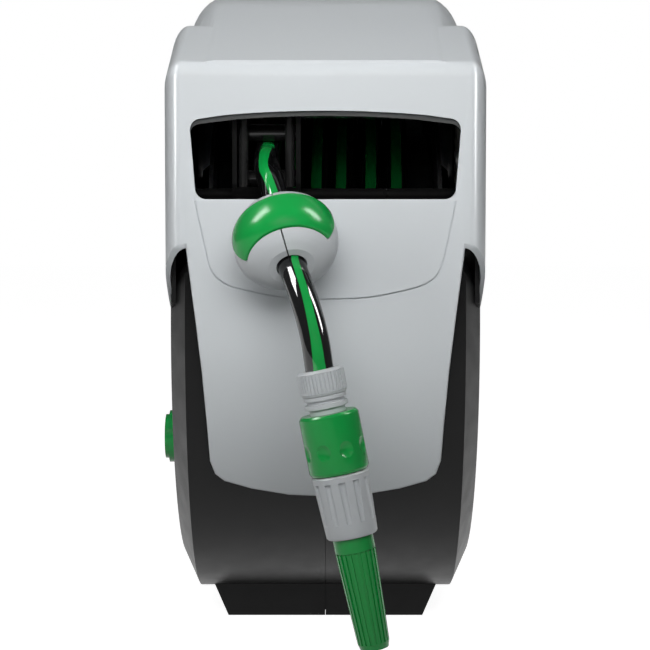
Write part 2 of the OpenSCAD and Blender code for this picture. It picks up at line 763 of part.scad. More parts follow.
module inlet_socket() {
    color([0.2, 0.2, 0.2]) difference() {
        union() {
            round_bar(14, -shell_half_w - 1, -side_face_x + 8, inlet_at);
            round_bar(socket_r, -shell_half_w - socket_out, -shell_half_w - gap, inlet_at);
        }
        round_bar(5, -far, -side_face_x + 5, inlet_at);
        translate([feed_x, axle_y, inlet_at[1]]) cylinder(r = 3, h = 30);
        round_bar(11, -far, -shell_half_w - 1, inlet_at);
    }
}
elbow_out = 15;
elbow_x = -shell_half_w - socket_out - elbow_out / 2;
elbow_start = -shell_half_w - socket_out - gap;
elbow_end = -shell_half_w - socket_out - elbow_out;
module inlet_elbow() {
    color(green) difference() {
        union() {
            round_bar(socket_r - 2, elbow_end + 3, elbow_start, inlet_at);
            round_bar(socket_r - 5, elbow_end, elbow_start, inlet_at);
            round_bar(11 - gap, -shell_half_w - socket_out - 1, -shell_half_w - 1 - gap, inlet_at);
        }
        round_bar(5, elbow_x - 4, 0, inlet_at);
        translate([elbow_x, axle_y, inlet_at[1]]) rotate([-90, 0, 0]) cylinder(r = 5, h = 60);
    }
}
spigot_r = 7;
spigot_l = 22;
spigot_y = axle_y + socket_r - 2;
module inlet_spigot() {
    color(black) translate([elbow_x, spigot_y, inlet_at[1]]) rotate([-90, 0, 0]) difference() {
        union() {
            translate([0, 0, gap]) cylinder(r = spigot_r, h = spigot_l + 6);
            translate([0, 0, gap]) cylinder(r = spigot_r + 0.4, h = 3);
            translate([0, 0, -6]) cylinder(r = 4.9, h = 8);
        }
        translate([0, 0, -8]) cylinder(r = 3.5, h = 60);
    }
}
module feed_pipe() {
    color(steel) translate([feed_x, axle_y, 0]) difference() {
        translate([0, 0, inlet_at[1] + 14 + gap]) cylinder(r = 4, h = -inlet_at[1] - 14 - axle_r - 2 * gap);
        translate([0, 0, inlet_at[1]]) cylinder(r = 3, h = -inlet_at[1]);
    }
}

// Drum
module drum_hub() {
    color(black) difference() {
        ring_bar(hub_r, hub_r - hub_wall, -drum_half_w, drum_half_w);
        translate([barb_x, axle_y, 0]) cylinder(r = 6 + gap, h = far);
    }
}
module flange() {
    difference() {
        union() {
            round_bar(flange_r, drum_half_w + 0.05, flange_x, $fn = 128);
            round_bar(axle_r + 6, drum_half_w - 15, flange_x);
            ring_bar(hub_r - hub_wall - 0.1, hub_r - hub_wall - 4, drum_half_w - 8, flange_x);
        }
        round_bar(axle_r + run_fit, 0, far);
        for (a = [45:90:315]) round_bar(screw_r + 0.2, 0, far, polar([0, 0], hub_r - 16, a));
        for (a = [30:60:330]) round_bar((flange_r - hub_r) / 4 - 0.5, drum_half_w - 5, far,
            polar([0, 0], (flange_r + hub_r) / 2 - 2, a));
    }
}
module left_flange() {
    color(black) mirror([1, 0, 0]) flange();
}
module right_flange() {
    color(black) flange();
}
module flange_screws() {
    color(steel) for (side = [-1, 1], a = [45:90:315]) mirror([side < 0 ? 1 : 0, 0, 0]) {
        round_bar(screw_r, drum_half_w - 12, flange_x + 2, polar([0, 0], hub_r - 16, a));
        round_bar(4, flange_x + 0.1, flange_x + 1.7, polar([0, 0], hub_r - 16, a));
    }
}
ratchet_r = 50;
module ratchet_ring() {
    color(black) difference() {
        across(pawl_x, -flange_x - 0.05) polygon([for (i = [0:ratchet_teeth - 1]) each
            [polar([0, 0], ratchet_r, 360 * i / ratchet_teeth - 8),
                polar([0, 0], ratchet_r - 9, 360 * i / ratchet_teeth - 6)]]);
        round_bar(axle_r + 8, -far, 0);
    }
}
module toothed(n, at, turn, x0, x1) {
    across(x0, x1) translate(at) rotate(turn) gear_outline(n);
}
module drum_gear() {
    color(black) difference() {
        union() {
            toothed(drum_teeth, [0, 0], 0, gear_x, gear_x + gear_w);
            round_bar(pitch_r(drum_teeth) - 7, flange_x + 0.05, gear_x + 1);
        }
        round_bar(axle_r + 6, 0, far);
    }
}
spring_case_x = [30 - drum_half_w, 38 - drum_half_w + spring_ribbon_w];
module spring_case() {
    color(steel) difference() {
        round_bar(hub_r - hub_wall - gap, spring_case_x[0], spring_case_x[1]);
        round_bar(hub_r - hub_wall - gap - 1.5, spring_case_x[0] + 1.5, spring_case_x[1] - 1.5);
        round_bar(axle_r + 6, -far, far);
    }
}
ribbon_t = 1.2;
module power_spring() {
    r0 = axle_r + gap;
    r1 = hub_r - hub_wall - 1.5 - ribbon_t - 2 * gap;
    n = 24 * spring_turns;
    function spiral(d) = [for (i = [0:n]) polar([0, 0], r0 + d + (r1 - r0) * pow(i / n, 0.8), 15 * i)];
    inner = spiral(0);
    outer = spiral(ribbon_t);
    color(steel) across(spring_case_x[0] + 4, spring_case_x[0] + 4 + spring_ribbon_w)
        polygon(concat(outer, [for (i = [n:-1:0]) inner[i]]));
}
module hose_barb() {
    color([0.72, 0.6, 0.3]) difference() {
        union() {
            round_bar(axle_r + 7, barb_x - 8, barb_x + 8);
            translate([barb_x, axle_y, 0]) cylinder(r = 6, h = hub_r - 0.2);
        }
        round_bar(axle_r + run_fit, 0, far);
        translate([barb_x, axle_y, 0]) cylinder(r = 3.5, h = far);
    }
}

// Wound hose: a plain core below, and the outer layer as one helix
wound_sides = 24;
core_r = (wound_r - hose_r) * cos(180 / wound_sides) - gap;
wound_pitch = hose_d + 0.6;
wound_turns = floor(4 * (drum_half_w - hose_r - 1 - guide_x) / wound_pitch) / 4;
// The hose leaves the drum along the straight line to the guide
guide_end = [front_u - 34, guide_hose_z - 1];
lead_angle = atan2(guide_end[0], guide_end[1]) - acos(wound_r / norm(guide_end));
wound_start = lead_angle - 360 * wound_turns;
wound_x0 = guide_x + wound_pitch * wound_turns;
function wound_at(a) = [guide_x + wound_pitch * (lead_angle - a) / 360,
    axle_y - wound_r * sin(a), wound_r * cos(a)];
function along_drum(a) = [0, -cos(a), -sin(a)];
wound_rings = wound_sides * wound_turns;
wound_route = concat(
    [wound_at(wound_start) - hose_d * along_drum(wound_start)],
    [for (i = [0:wound_rings]) wound_at(wound_start + (lead_angle - wound_start) * i / wound_rings)],
    [wound_at(lead_angle) + hose_d * along_drum(lead_angle)]);
wound_gap = min([for (i = [0:wound_rings], j = [0:wound_rings])
    if (abs(i - j) >= wound_sides / 2) norm(wound_route[i + 1] - wound_route[j + 1])]) - hose_d;
echo(least_gap_of_the_winding = wound_gap);
module hose_outer_layer() {
    color(black) swept_tube(wound_route, hose_r, 6, [0, sin(wound_start), -cos(wound_start)]);
}
module hose_inner_layers() {
    color(black) {
        difference() {
            round_bar(core_r, -drum_half_w + gap, drum_half_w - gap, $fn = 128);
            round_bar(hub_r + gap, -far, far);
        }
        translate([0, axle_y, 0]) rotate([wound_start, 0, 0]) intersection() {
            rotate([0, 90, 0]) difference() {
                cylinder(r = wound_r + hose_r, h = 2 * drum_half_w, center = true, $fn = 128);
                cylinder(r = core_r - 1, h = 3 * drum_half_w, center = true, $fn = 128);
            }
            translate([wound_x0 - hose_r + 0.5, hose_d + gap, core_r - 12]) cube([hose_d - 1, 26, 40]);
        }
    }
}

// Gears and the crossed-thread shaft
module idler(n, at, turn) {
    color([0.85, 0.84, 0.8]) difference() {
        toothed(n, at, turn, gear_x, gear_x + gear_w);
        round_bar(gear_pin_r + run_fit, 0, far, at);
        for (a = [0:60:300]) round_bar(n * 0.28, 0, far, at + polar([0, 0], n * 0.85, a));
    }
}
module idler_gear_lower() {
    idler(lower_teeth, lower_at, lower_turn);
}
module idler_gear_upper() {
    idler(upper_teeth, upper_at, upper_turn);
}
module traverse_shaft() {
    color(steel) {
        round_bar(traverse_r, -ear_x + gap, ear_x - gap, traverse_at);
        round_bar(traverse_r - 2, -ear_x - ear_t + 0.2, ear_x + ear_t - 0.2, traverse_at);
    }
}
module traverse_pinion() {
    color([0.85, 0.84, 0.8]) difference() {
        toothed(pinion_teeth, traverse_at, pinion_turn, gear_x, gear_x + gear_w);
        round_bar(traverse_r, 0, far, traverse_at);
    }
}

// Hose guide, placed by the hose that runs through it
roller_gap = 0.7;
level_dz = hose_r + roller_gap + level_roller_r;
foot_top = guide_hose_z - 20.9;
plate_z = guide_hose_z + 27.5;
journal_z = foot_top - 2.6;
// An outline of the carriage, drawn from the level rollers' line at the hose's height
function on_guide(points) = [for (p = points) [level_u + p[0], guide_hose_z + p[1]]];
module guide_carriage() {
    w = carriage_half_w;
    t = 3;
    color(black) translate([guide_x, 0, 0]) difference() {
        union() {
            across(-w, w) polygon(on_guide([[-26, 27.5], [24, 27.5], [24, 31.5], [0, 43.5], [-24, 43.5]]));
            for (side = [-1, 1]) across(side < 0 ? -w : w - t, side < 0 ? -w + t : w)
                polygon(on_guide([[-8, -34.5], [18, -30.5], [22, -18.5],
                    [22, 29.5], [-22, 29.5], [-22, 19.5],
                    [-8, 9.5]]));
            across(-w, w) polygon(on_guide([[-8, -34.5], [18, -30.5], [21, -20.9], [-8, -20.9]]));
        }
        round_bar(traverse_r + 0.08, -far, far, traverse_at);
        round_bar(rail_r + 0.08, -far, far, rail_at);
        for (z = [-1, 1])
            round_bar(journal_r + run_fit, -w + 0.8, w - 0.8, [level_u, guide_hose_z + z * level_dz]);
        for (x = [-1, 1]) translate([x * side_roller_dx, axle_y - upright_u, journal_z])
            cylinder(r = journal_r + run_fit, h = plate_z + 2 - journal_z);
        translate([0, axle_y - traverse_at[0], traverse_at[1]]) cylinder(r = 3 + gap, h = 30);
    }
}
module thread_follower() {
    color(steel) translate([guide_x, axle_y - traverse_at[0], traverse_at[1] + traverse_r + 0.2]) {
        cylinder(r = 3, h = 5);
        translate([0, 0, 4.9]) cylinder(r = 6, h = 2.5);
    }
}
module upright_roller(side) {
    color([0.1, 0.1, 0.1]) translate([guide_x + side * side_roller_dx, axle_y - upright_u, 0]) {
        translate([0, 0, foot_top + gap]) cylinder(r = side_roller_r, h = plate_z - foot_top - 2 * gap);
        translate([0, 0, journal_z + 0.4]) cylinder(r = journal_r, h = plate_z + 1 - journal_z);
    }
}
module roller_left() {
    upright_roller(-1);
}
module roller_right() {
    upright_roller(1);
}
module level_roller(side) {
    w = carriage_half_w - 3 - gap;
    at = [level_u, guide_hose_z + side * level_dz];
    color([0.1, 0.1, 0.1]) {
        round_bar(level_roller_r, guide_x - w, guide_x + w, at);
        round_bar(journal_r, guide_x - w - 2, guide_x + w + 2, at);
    }
}
module roller_top() {
    level_roller(1);
}
module roller_bottom() {
    level_roller(-1);
}

// Hose from the drum to the guide, and from the guide through the ball to the nut
sill_at = [guide_x, axle_y - front_u, guide_hose_z - 27.5];
lead_start = wound_at(lead_angle) + (hose_d + 0.6) * along_drum(lead_angle);
lead_end = [guide_x, axle_y - guide_end[0], guide_end[1]];
lead_route = [for (i = [0:5]) lead_start + (lead_end - lead_start) * i / 5];
// The hanging hose, from the middle of the sill below the guide: down to the
// stop ball, straight through it, and on into the nut
ball_turn = [-47.14, -15.35, 0];
ball_along = [-cos(ball_turn[0]) * sin(ball_turn[1]), sin(ball_turn[0]),
    -cos(ball_turn[0]) * cos(ball_turn[1])];
ball_offset = [13.55, -40.9, -26.55];
above_ball = [[0, 33.2, 26.35], [0, 25, 24.2], [0.4, 15.2, 20.8], [1.4, 6.3, 16.2],
    [3.4, -2.1, 10.4], [5.7, -11.1, 2.4], [8, -19.6, -6.1]];
nut_offset = [34.4, -88.6, -100.8];
below_ball = [[20.2, -63.8, -47.2], [24, -72.7, -56.7], [27.7, -80, -67.8], [31, -85, -80],
    [32.9, -87.7, -90.2], nut_offset, [36.9, -88.9, -113], [37.8, -89, -118]];
free_offsets = concat(above_ball, [for (s = [-22:11:22]) ball_offset + s * ball_along], below_ball);
free_route = [for (p = free_offsets) sill_at + p];
module hose_lead() {
    color(black) swept_tube(lead_route, hose_r, 10, [0, 0.2, 1]);
}
module hose_free() {
    color(black) swept_tube(free_route, hose_r, 10, [0, 0.2, 1]);
}

module on_ball() {
    translate(sill_at + ball_offset) rotate(ball_turn) children();
}
bore_r = hose_r + gap;
ball_end = ball_half_l * 0.94;
band_groove = 2.2;
band_gap = 0.7;
ball_seam = 0.8;
ball_screw_y = 18.5;
// The ball's contour at a radius, from one height to another
function ball_wall(r, z0, z1, n) = [for (i = [0:n]) let (z = z0 + (z1 - z0) * i / n)
    [r * pow(1 - pow(abs(z) / ball_half_l, 2.4), 1 / 2.4), z]];
// The ring that holds the band, cut off at its ends, with room round it
module band_zone(room, r_in, r_out) {
    low = band_z - band_w / 2 - room;
    high = band_z + band_w / 2 + room;
    intersection() {
        rotate_extrude() polygon(concat(ball_wall(r_out, low, high, 14), ball_wall(r_in, high, low, 14)));
        translate([-far / 2, -far - band_end + room, -far / 2]) cube([far, far, far]);
    }
}
module ball_half(side) {
    color(grey) on_ball() difference() {
        rotate_extrude() polygon(concat(
            [[bore_r + 0.8, ball_end], [bore_r, ball_end - 3],
                [bore_r, 3 - ball_end], [bore_r + 0.8, -ball_end]],
            ball_wall(ball_r, -ball_end, ball_end, 24)));
        band_zone(band_gap, ball_r - band_groove - gap, ball_r + 9);
        translate([side > 0 ? -far : -ball_seam / 2, -far / 2, -far / 2])
            cube([far + ball_seam / 2, far, far]);
        for (z = [-1, 1]) translate([-far / 2, ball_screw_y, z * 5]) rotate([0, 90, 0])
            cylinder(r = 1.7, h = far);
    }
}
module stop_ball_left() {
    ball_half(-1);
}
module stop_ball_right() {
    ball_half(1);
}
module stop_ball_band() {
    color(green) on_ball() band_zone(0, ball_r - band_groove, ball_r + 0.6);
}
module ball_screws() {
    color(steel) on_ball() for (z = [-1, 1]) translate([-20, ball_screw_y, z * 5]) rotate([0, 90, 0])
        cylinder(r = 1.5, h = 40);
}

// Hose end fittings, hung along one axis from the top of the nut
hang_turn = [-1.2, -11.2, 0];
module hung() {
    translate(sill_at + nut_offset) rotate(hang_turn) children();
}
module down_tube(r1, r2, z, l) {
    translate([0, 0, -z - l]) cylinder(r1 = r2, r2 = r1, h = l);
}
neck_l = 8;
collar_z = nut_l + neck_l + collar_travel + 0.4;
grip_z = collar_z + collar_l + 0.5;
barrel_z = grip_z + grip_l - 5;
core_tube_r = collar_r - 7.2;
stem_r = 6;
seal_up = 12;
seal_groove_r = stem_r - 1.8;
barrel_pin_r = 7.2;
module hose_nut() {
    ribs = 40;
    color(grey) hung() difference() {
        union() {
            translate([0, 0, -nut_l + 1.5]) linear_extrude(nut_l - 3) polygon([for (i = [0:ribs - 1]) each
                [polar([0, 0], nut_r, 360 * i / ribs), polar([0, 0], nut_r, 360 * (i + 0.5) / ribs),
                    polar([0, 0], nut_r - 0.8, 360 * (i + 0.6) / ribs),
                    polar([0, 0], nut_r - 0.8, 360 * (i + 0.9) / ribs)]]);
            down_tube(nut_r - 2.2, nut_r - 0.4, 0, 1.6);
            down_tube(nut_r - 0.4, nut_r - 1, nut_l - 1.6, 1.6);
        }
        down_tube(bore_r + 0.2, bore_r + 0.2, -1, 6);
        down_tube(bore_r + 2.6, bore_r + 2.6, 4.6, nut_l);
    }
}
module connector_body() {
    color(grey) hung() difference() {
        union() {
            down_tube(bore_r + 2.3, bore_r + 2.3, 5, nut_l + neck_l - 5);
            down_tube(nut_r - 1.4, nut_r - 1.4, nut_l + gap, 2.6);
            down_tube(nut_r - 1.4, nut_r - 1.4, nut_l + neck_l - 3, 3);
            down_tube(core_tube_r, core_tube_r, nut_l + neck_l - 1, grip_z - nut_l - neck_l + 1 - gap);
        }
        down_tube(bore_r + 0.1, bore_r + 0.1, 0, 18);
        down_tube(4, 4, 10, 30);
        down_tube(stem_r + run_fit, stem_r + run_fit, 32, 60);
    }
}
module release_collar() {
    dimples = 8;
    color(green) hung() difference() {
        union() {
            down_tube(collar_r - 1.5, collar_r, collar_z, 2);
            down_tube(collar_r, collar_r, collar_z + 2, collar_l - 4);
            down_tube(collar_r, collar_r - 1.2, collar_z + collar_l - 2, 2);
        }
        down_tube(core_tube_r + run_fit, core_tube_r + run_fit, 0, 100);
        for (i = [0:dimples - 1]) rotate([0, 0, 360 * (i + 0.5) / dimples])
            translate([collar_r + 7.4, 0, -collar_z - collar_l * 0.6]) sphere(r = 9, $fn = 32);
    }
}
module nozzle_grip() {
    slots = 12;
    color(grey) hung() difference() {
        union() {
            difference() {
                union() {
                    down_tube(grip_r - 0.8, grip_r, grip_z, 1);
                    down_tube(grip_r, grip_r - 1.8, grip_z + 1, grip_l - 2);
                    down_tube(grip_r - 1.8, grip_r - 2.6, grip_z + grip_l - 1, 1);
                }
                down_tube(barrel_base_r + 0.6, barrel_base_r + 0.6, barrel_z - gap, 20);
                for (i = [0:slots - 1]) rotate([0, 0, 360 * i / slots])
                    translate([grip_r - 0.2, 0, -grip_z - grip_l + 9]) cylinder(r = 2, h = grip_l - 13);
            }
            down_tube(stem_r, stem_r, grip_z - seal_up - 8, seal_up + 10);
            down_tube(barrel_pin_r, barrel_pin_r, barrel_z - 2, 30);
        }
        down_tube(3.2, 3.2, grip_z - 40, grip_l + 80);
        difference() {
            down_tube(far, far, grip_z - seal_up - 1, 2);
            down_tube(seal_groove_r, seal_groove_r, grip_z - seal_up - 2, 4);
        }
    }
}
module nozzle_seal() {
    ring_r = 0.85;
    color([0.06, 0.06, 0.06]) hung() translate([0, 0, -grip_z + seal_up]) rotate_extrude()
        translate([stem_r + 0.02 - ring_r, 0]) circle(r = ring_r);
}
module nozzle_barrel() {
    ribs = 20;
    rib_z = barrel_z + 14;
    rib_l = barrel_l - 14 - 4;
    color(green) hung() difference() {
        union() {
            down_tube(barrel_base_r, barrel_base_r, barrel_z, 14);
            down_tube(barrel_base_r - 0.8, barrel_tip_r - 0.8, rib_z - 0.5, rib_l + 1);
            down_tube(barrel_tip_r, barrel_tip_r - 1, barrel_z + barrel_l - 4, 4);
            for (i = [0:ribs - 1]) rotate([0, 0, 360 * i / ribs]) translate([0, 0, -rib_z - rib_l])
                rotate([0, atan((barrel_base_r - barrel_tip_r) / rib_l), 0])
                translate([barrel_tip_r - 2, -0.9, 0]) cube([2, 1.8, rib_l]);
        }
        down_tube(barrel_pin_r + run_fit, barrel_pin_r + run_fit, barrel_z - 1, 34);
        down_tube(4.5, 4.5, barrel_z, barrel_l + 10);
    }
}
module lock_pawl() {
    color(steel) difference() {
        union() {
            round_bar(gear_pin_r + 3, pawl_span[0], pawl_span[1], pawl_at);
            across(pawl_span[0], pawl_span[1]) polygon([on_pawl(-tail_l, 3.5), on_pawl(-tail_l, -3.5),
                on_pawl(pawl_l, -1.5), on_pawl(pawl_l, 2.5)]);
        }
        round_bar(gear_pin_r + run_fit, -far, 0, pawl_at);
    }
}

wall_bracket();
swivel_rod();
rod_clip();
left_shell();
right_shell();
top_cover();
window_lining();
handle_tray();
handle_bar();
swivel_column();
column_screws();
case_screws();
axle();
axle_clips();
guide_rail();
gear_pins();
pawl_pin();
pawl_spring();
inlet_socket();
inlet_elbow();
inlet_spigot();
feed_pipe();
drum_hub();
left_flange();
right_flange();
flange_screws();
ratchet_ring();
drum_gear();
spring_case();
power_spring();
hose_barb();
hose_inner_layers();
hose_outer_layer();
idler_gear_lower();
idler_gear_upper();
traverse_shaft();
traverse_pinion();
guide_carriage();
thread_follower();
roller_left();
roller_right();
roller_top();
roller_bottom();
hose_lead();
hose_free();
stop_ball_left();
stop_ball_right();
stop_ball_band();
ball_screws();
hose_nut();
connector_body();
release_collar();
nozzle_grip();
nozzle_seal();
nozzle_barrel();
lock_pawl();
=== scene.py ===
# %% [markdown]
# This notebook dresses a wall-hung garden hose reel in Blender. The working parts come in as a fixed
# frame: every CAD node already lies at its real place, in metres. Blender adds the finish of each
# surface, the hose with its stripe, and the cover whose soft edges catch the light.

# %% Load the frame
import math

import bmesh
import bpy
from mathutils import Matrix, Vector


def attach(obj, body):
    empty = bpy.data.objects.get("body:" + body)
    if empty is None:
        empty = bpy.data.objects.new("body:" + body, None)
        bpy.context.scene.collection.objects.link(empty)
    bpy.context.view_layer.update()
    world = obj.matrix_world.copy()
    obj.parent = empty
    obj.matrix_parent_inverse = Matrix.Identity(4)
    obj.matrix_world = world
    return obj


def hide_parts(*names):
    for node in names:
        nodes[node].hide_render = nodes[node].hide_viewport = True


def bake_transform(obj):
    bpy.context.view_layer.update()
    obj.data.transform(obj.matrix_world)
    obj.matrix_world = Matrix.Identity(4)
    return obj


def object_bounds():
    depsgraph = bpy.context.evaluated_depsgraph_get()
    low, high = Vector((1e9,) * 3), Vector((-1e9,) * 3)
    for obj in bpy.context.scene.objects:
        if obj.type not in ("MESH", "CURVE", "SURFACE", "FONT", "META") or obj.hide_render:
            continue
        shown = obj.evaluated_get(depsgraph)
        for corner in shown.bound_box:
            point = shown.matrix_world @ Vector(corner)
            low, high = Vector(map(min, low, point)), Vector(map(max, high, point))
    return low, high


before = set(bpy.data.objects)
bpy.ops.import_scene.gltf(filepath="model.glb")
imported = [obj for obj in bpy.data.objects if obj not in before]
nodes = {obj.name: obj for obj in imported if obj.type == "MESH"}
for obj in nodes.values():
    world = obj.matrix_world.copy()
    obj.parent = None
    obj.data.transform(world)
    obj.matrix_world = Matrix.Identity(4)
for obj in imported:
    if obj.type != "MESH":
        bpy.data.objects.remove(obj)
cad_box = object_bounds()

# %% [markdown]
# Sizes are easier to think of in millimetres, while Blender works in metres. The drum's axle runs
# along X, and the case is round about it, so most places are given as "how far ahead of the axle" and
# "how far above it". One helper turns those into a point of the shared frame.

# %% Sizes and places
MM = 0.001
AXLE_Y = -341
CASE_R = 198
COVER_AHEAD = 14
FRONT = CASE_R + COVER_AHEAD


def place(across, ahead, up):
    """A point of the frame, from millimetres across, ahead of the axle and above it."""
    return Vector((across, AXLE_Y - ahead, up)) * MM


print("the front face stands", round(-place(0, FRONT, 0).y, 3), "m before the wall")

# %% [markdown]
# The camera comes first, because it decides what has to look right. Lines that run away from the
# viewer hardly converge in the photograph, so the lens is long and stands well back. The eye is level
# with the window's sill, and looks down by about four degrees.

# %% Camera
PHOTO_SIDE = 650
FOCAL_PIXELS = 1886
SENSOR = 36
EYE_ACROSS = -0.3
EYE_DISTANCE = 1200
EYE_HEIGHT = 96
LOOK_DOWN = 4.1
CLIP_END = 30

camera_data = bpy.data.cameras.new("camera")
camera_data.sensor_width = SENSOR
camera_data.lens = SENSOR * FOCAL_PIXELS / PHOTO_SIDE
camera_data.clip_end = CLIP_END
camera = bpy.data.objects.new("camera", camera_data)
camera.location = place(EYE_ACROSS, FRONT + EYE_DISTANCE, EYE_HEIGHT)
camera.rotation_euler = (math.radians(90 - LOOK_DOWN), 0, 0)
bpy.context.collection.objects.link(camera)
bpy.context.scene.camera = camera
bpy.context.scene.view_settings.view_transform = "Standard"
print("lens", round(camera_data.lens, 1), "mm")

# %% [markdown]
# The free hose leaves the guide, dives through the stop ball and hangs down into the nut. It is stiff
# and short, so it hangs in one bow, and its points are given in millimetres of the frame. A curve
# object with a bevel could draw it. Here the curve is worked out as a list of points instead, because
# the same list also gives the hose's length.

# %% Line of the free hose
GUIDE_X = -38
LINE_STEPS = 4


def smooth_line(points, steps):
    """A curve through the points, with that many steps between each pair."""
    p = [Vector(q) for q in points]
    p = [2 * p[0] - p[1]] + p + [2 * p[-1] - p[-2]]
    line = []
    for a, b, c, d in zip(p, p[1:], p[2:], p[3:]):
        for i in range(steps):
            t = i / steps
            line.append(0.5 * (2 * b + (c - a) * t + (2 * a - 5 * b + 4 * c - d) * t * t
                               + (3 * b - a - 3 * c + d) * t ** 3))
    return line + [p[-2]]


def line_length(line):
    return sum((b - a).length for a, b in zip(line, line[1:]))


free_route = [(GUIDE_X, -519.8, 117.3), (GUIDE_X, -528, 115.2), (-37.6, -537.8, 111.8),
              (-36.6, -546.7, 107.2), (-34.6, -555.1, 101.4), (-32.3, -564.1, 93.4),
              (-30, -572.6, 84.9), (-28.4, -577.8, 78.9), (-26.4, -585.8, 71.7),
              (-24.4, -593.9, 64.5), (-22.5, -602, 57.2), (-20.5, -610, 50), (-17.8, -616.8, 43.8),
              (-14, -625.7, 34.3), (-10.3, -633, 23.2), (-7, -638, 11), (-5.1, -640.7, 0.8),
              (-3.6, -641.6, -9.8), (-1.1, -641.9, -22), (-0.2, -642, -27)]
free_line = smooth_line([Vector(p) * MM for p in free_route], LINE_STEPS)
print("free hose", round(line_length(free_line), 3), "m")

# %% [markdown]
# The green stripe doesn't face the viewer all the way, because the hose is a little twisted. The
# stripe is turned most just below the ball, and comes back towards the nut. Its turn and its width
# are given at a few places, as shares of the hose's length, and run straight between them.

# %% How the stripe turns
def through(knots):
    """A function that runs straight from knot to knot, each a pair of (share, value)."""
    def value(share):
        for (s0, v0), (s1, v1) in zip(knots, knots[1:]):
            if share <= s1:
                return v0 + (v1 - v0) * max(0, share - s0) / (s1 - s0)
        return knots[-1][1]
    return value


full_width = through([(0, 1), (1, 1)])
free_turn = through([(0, 3), (0.08, 5), (0.2, 14), (0.3, 0), (0.45, -22), (0.55, -30), (0.63, -20),
                     (0.78, -4), (1, 2)])
free_narrow = through([(0, 1), (0.5, 1.6), (0.68, 1.7), (0.9, 1), (1, 1)])
print("half way down the stripe is turned by", round(free_turn(0.5), 1), "degrees")

# %% [markdown]
# The hose is a tube of even width along its line. A ring is made once, then extruded and carried
# along the line step by step. Each point also remembers how far round the hose it lies, as the cosine
# of its angle from the stripe. The hose's material reads that number to paint the stripe, so the
# stripe follows every bend.

# %% Free hose
HOSE_D = 17


def finish_mesh(name, bm, smooth_under=35):
    """The bmesh as an object in the scene, smooth over edges flatter than the angle."""
    mesh = bpy.data.meshes.new(name)
    bm.to_mesh(mesh)
    bm.free()
    mesh.shade_smooth()
    mesh.set_sharp_from_angle(angle=math.radians(smooth_under))
    piece = bpy.data.objects.new(name, mesh)
    bpy.context.collection.objects.link(piece)
    return piece


def tube(name, line, side_at, turn, narrow=full_width, sides=32):
    """A hose along the line. The stripe lies towards side_at(point), turned by turn(share) degrees,
    and the larger narrow(share) is, the narrower the stripe gets."""
    bm = bmesh.new()
    facing = bm.verts.layers.float.new("facing")
    across = [(b - a).normalized() for a, b in zip(line, line[1:])]
    along = [across[0]] + [(a + b).normalized() for a, b in zip(across, across[1:])] + [across[-1]]
    ring = None
    for i, (at, t) in enumerate(zip(line, along)):
        share = i / (len(line) - 1)
        side = side_at(at)
        side = (side - side.dot(t) * t).normalized()
        turned = Matrix.Rotation(math.radians(turn(share)), 3, t) @ side
        stand = Matrix.Translation(at) @ Matrix((turned, t.cross(turned), t)).transposed().to_4x4()
        if ring is None:
            made = bmesh.ops.create_circle(bm, cap_ends=True, segments=sides, radius=HOSE_D / 2 * MM,
                                           matrix=stand)
            ring = made["verts"]
            edges = list({e for v in ring for e in v.link_edges})
        else:
            made = bmesh.ops.extrude_edge_only(bm, edges=edges)["geom"]
            ring = [g for g in made if isinstance(g, bmesh.types.BMVert)]
            edges = [g for g in made if isinstance(g, bmesh.types.BMEdge)
                     and all(v in set(ring) for v in g.verts)]
            bmesh.ops.transform(bm, matrix=stand @ before.inverted(), verts=ring)
        for v in ring:
            v[facing] = math.cos(min(math.pi, narrow(share) * (v.co - at).angle(turned)))
        before = stand
    bmesh.ops.holes_fill(bm, edges=edges, sides=sides)
    bmesh.ops.recalc_face_normals(bm, faces=bm.faces)
    return finish_mesh(name, bm, smooth_under=60)


def to_viewer(point):
    return camera.location - point


hose_free = tube("free_hose", free_line, to_viewer, free_turn, narrow=free_narrow)
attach(hose_free, "carriage")
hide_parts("hose_free")
print("free hose:", len(hose_free.data.polygons), "faces")

# %% [markdown]
# The lead is the short stretch from the drum up to the guide. It crosses the gap between two things
# that move apart, and stays where it is drawn, attached to neither.

# %% Hose from the drum to the guide
lead_route = [(GUIDE_X, -385.4, 142.3), (GUIDE_X, -430, 134), (GUIDE_X, -475, 125.7),
              (GUIDE_X, -519, 117.5)]
lead_line = smooth_line([Vector(p) * MM for p in lead_route], LINE_STEPS)
hose_lead = tube("hose_lead_stretch", lead_line, to_viewer, through([(0, 0), (1, 3)]))
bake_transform(hose_lead)
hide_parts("hose_lead")
print("lead", round(line_length(lead_line), 3), "m")

# %% [markdown]
# Behind the window the hose is wound side by side, like thread on a spool. A loop works out the
# helix, from the place where the lead comes off. The stripe wanders a little from turn to turn, as it
# does when a hose is pulled in by a spring.

# %% Wound hose
WOUND_R = 148
WOUND_TURNS = 5.75
WOUND_PITCH = 17.6
LEAD_ANGLE = 10.53
RINGS_A_TURN = 40


def wound_at(degrees):
    """A point of the helix, that many degrees forward of the drum's top."""
    a = math.radians(degrees)
    across = GUIDE_X + WOUND_PITCH * (LEAD_ANGLE - degrees) / 360
    return place(across, WOUND_R * math.sin(a), WOUND_R * math.cos(a))


def away_from_axle(point):
    return Vector((0, point.y - AXLE_Y * MM, point.z))


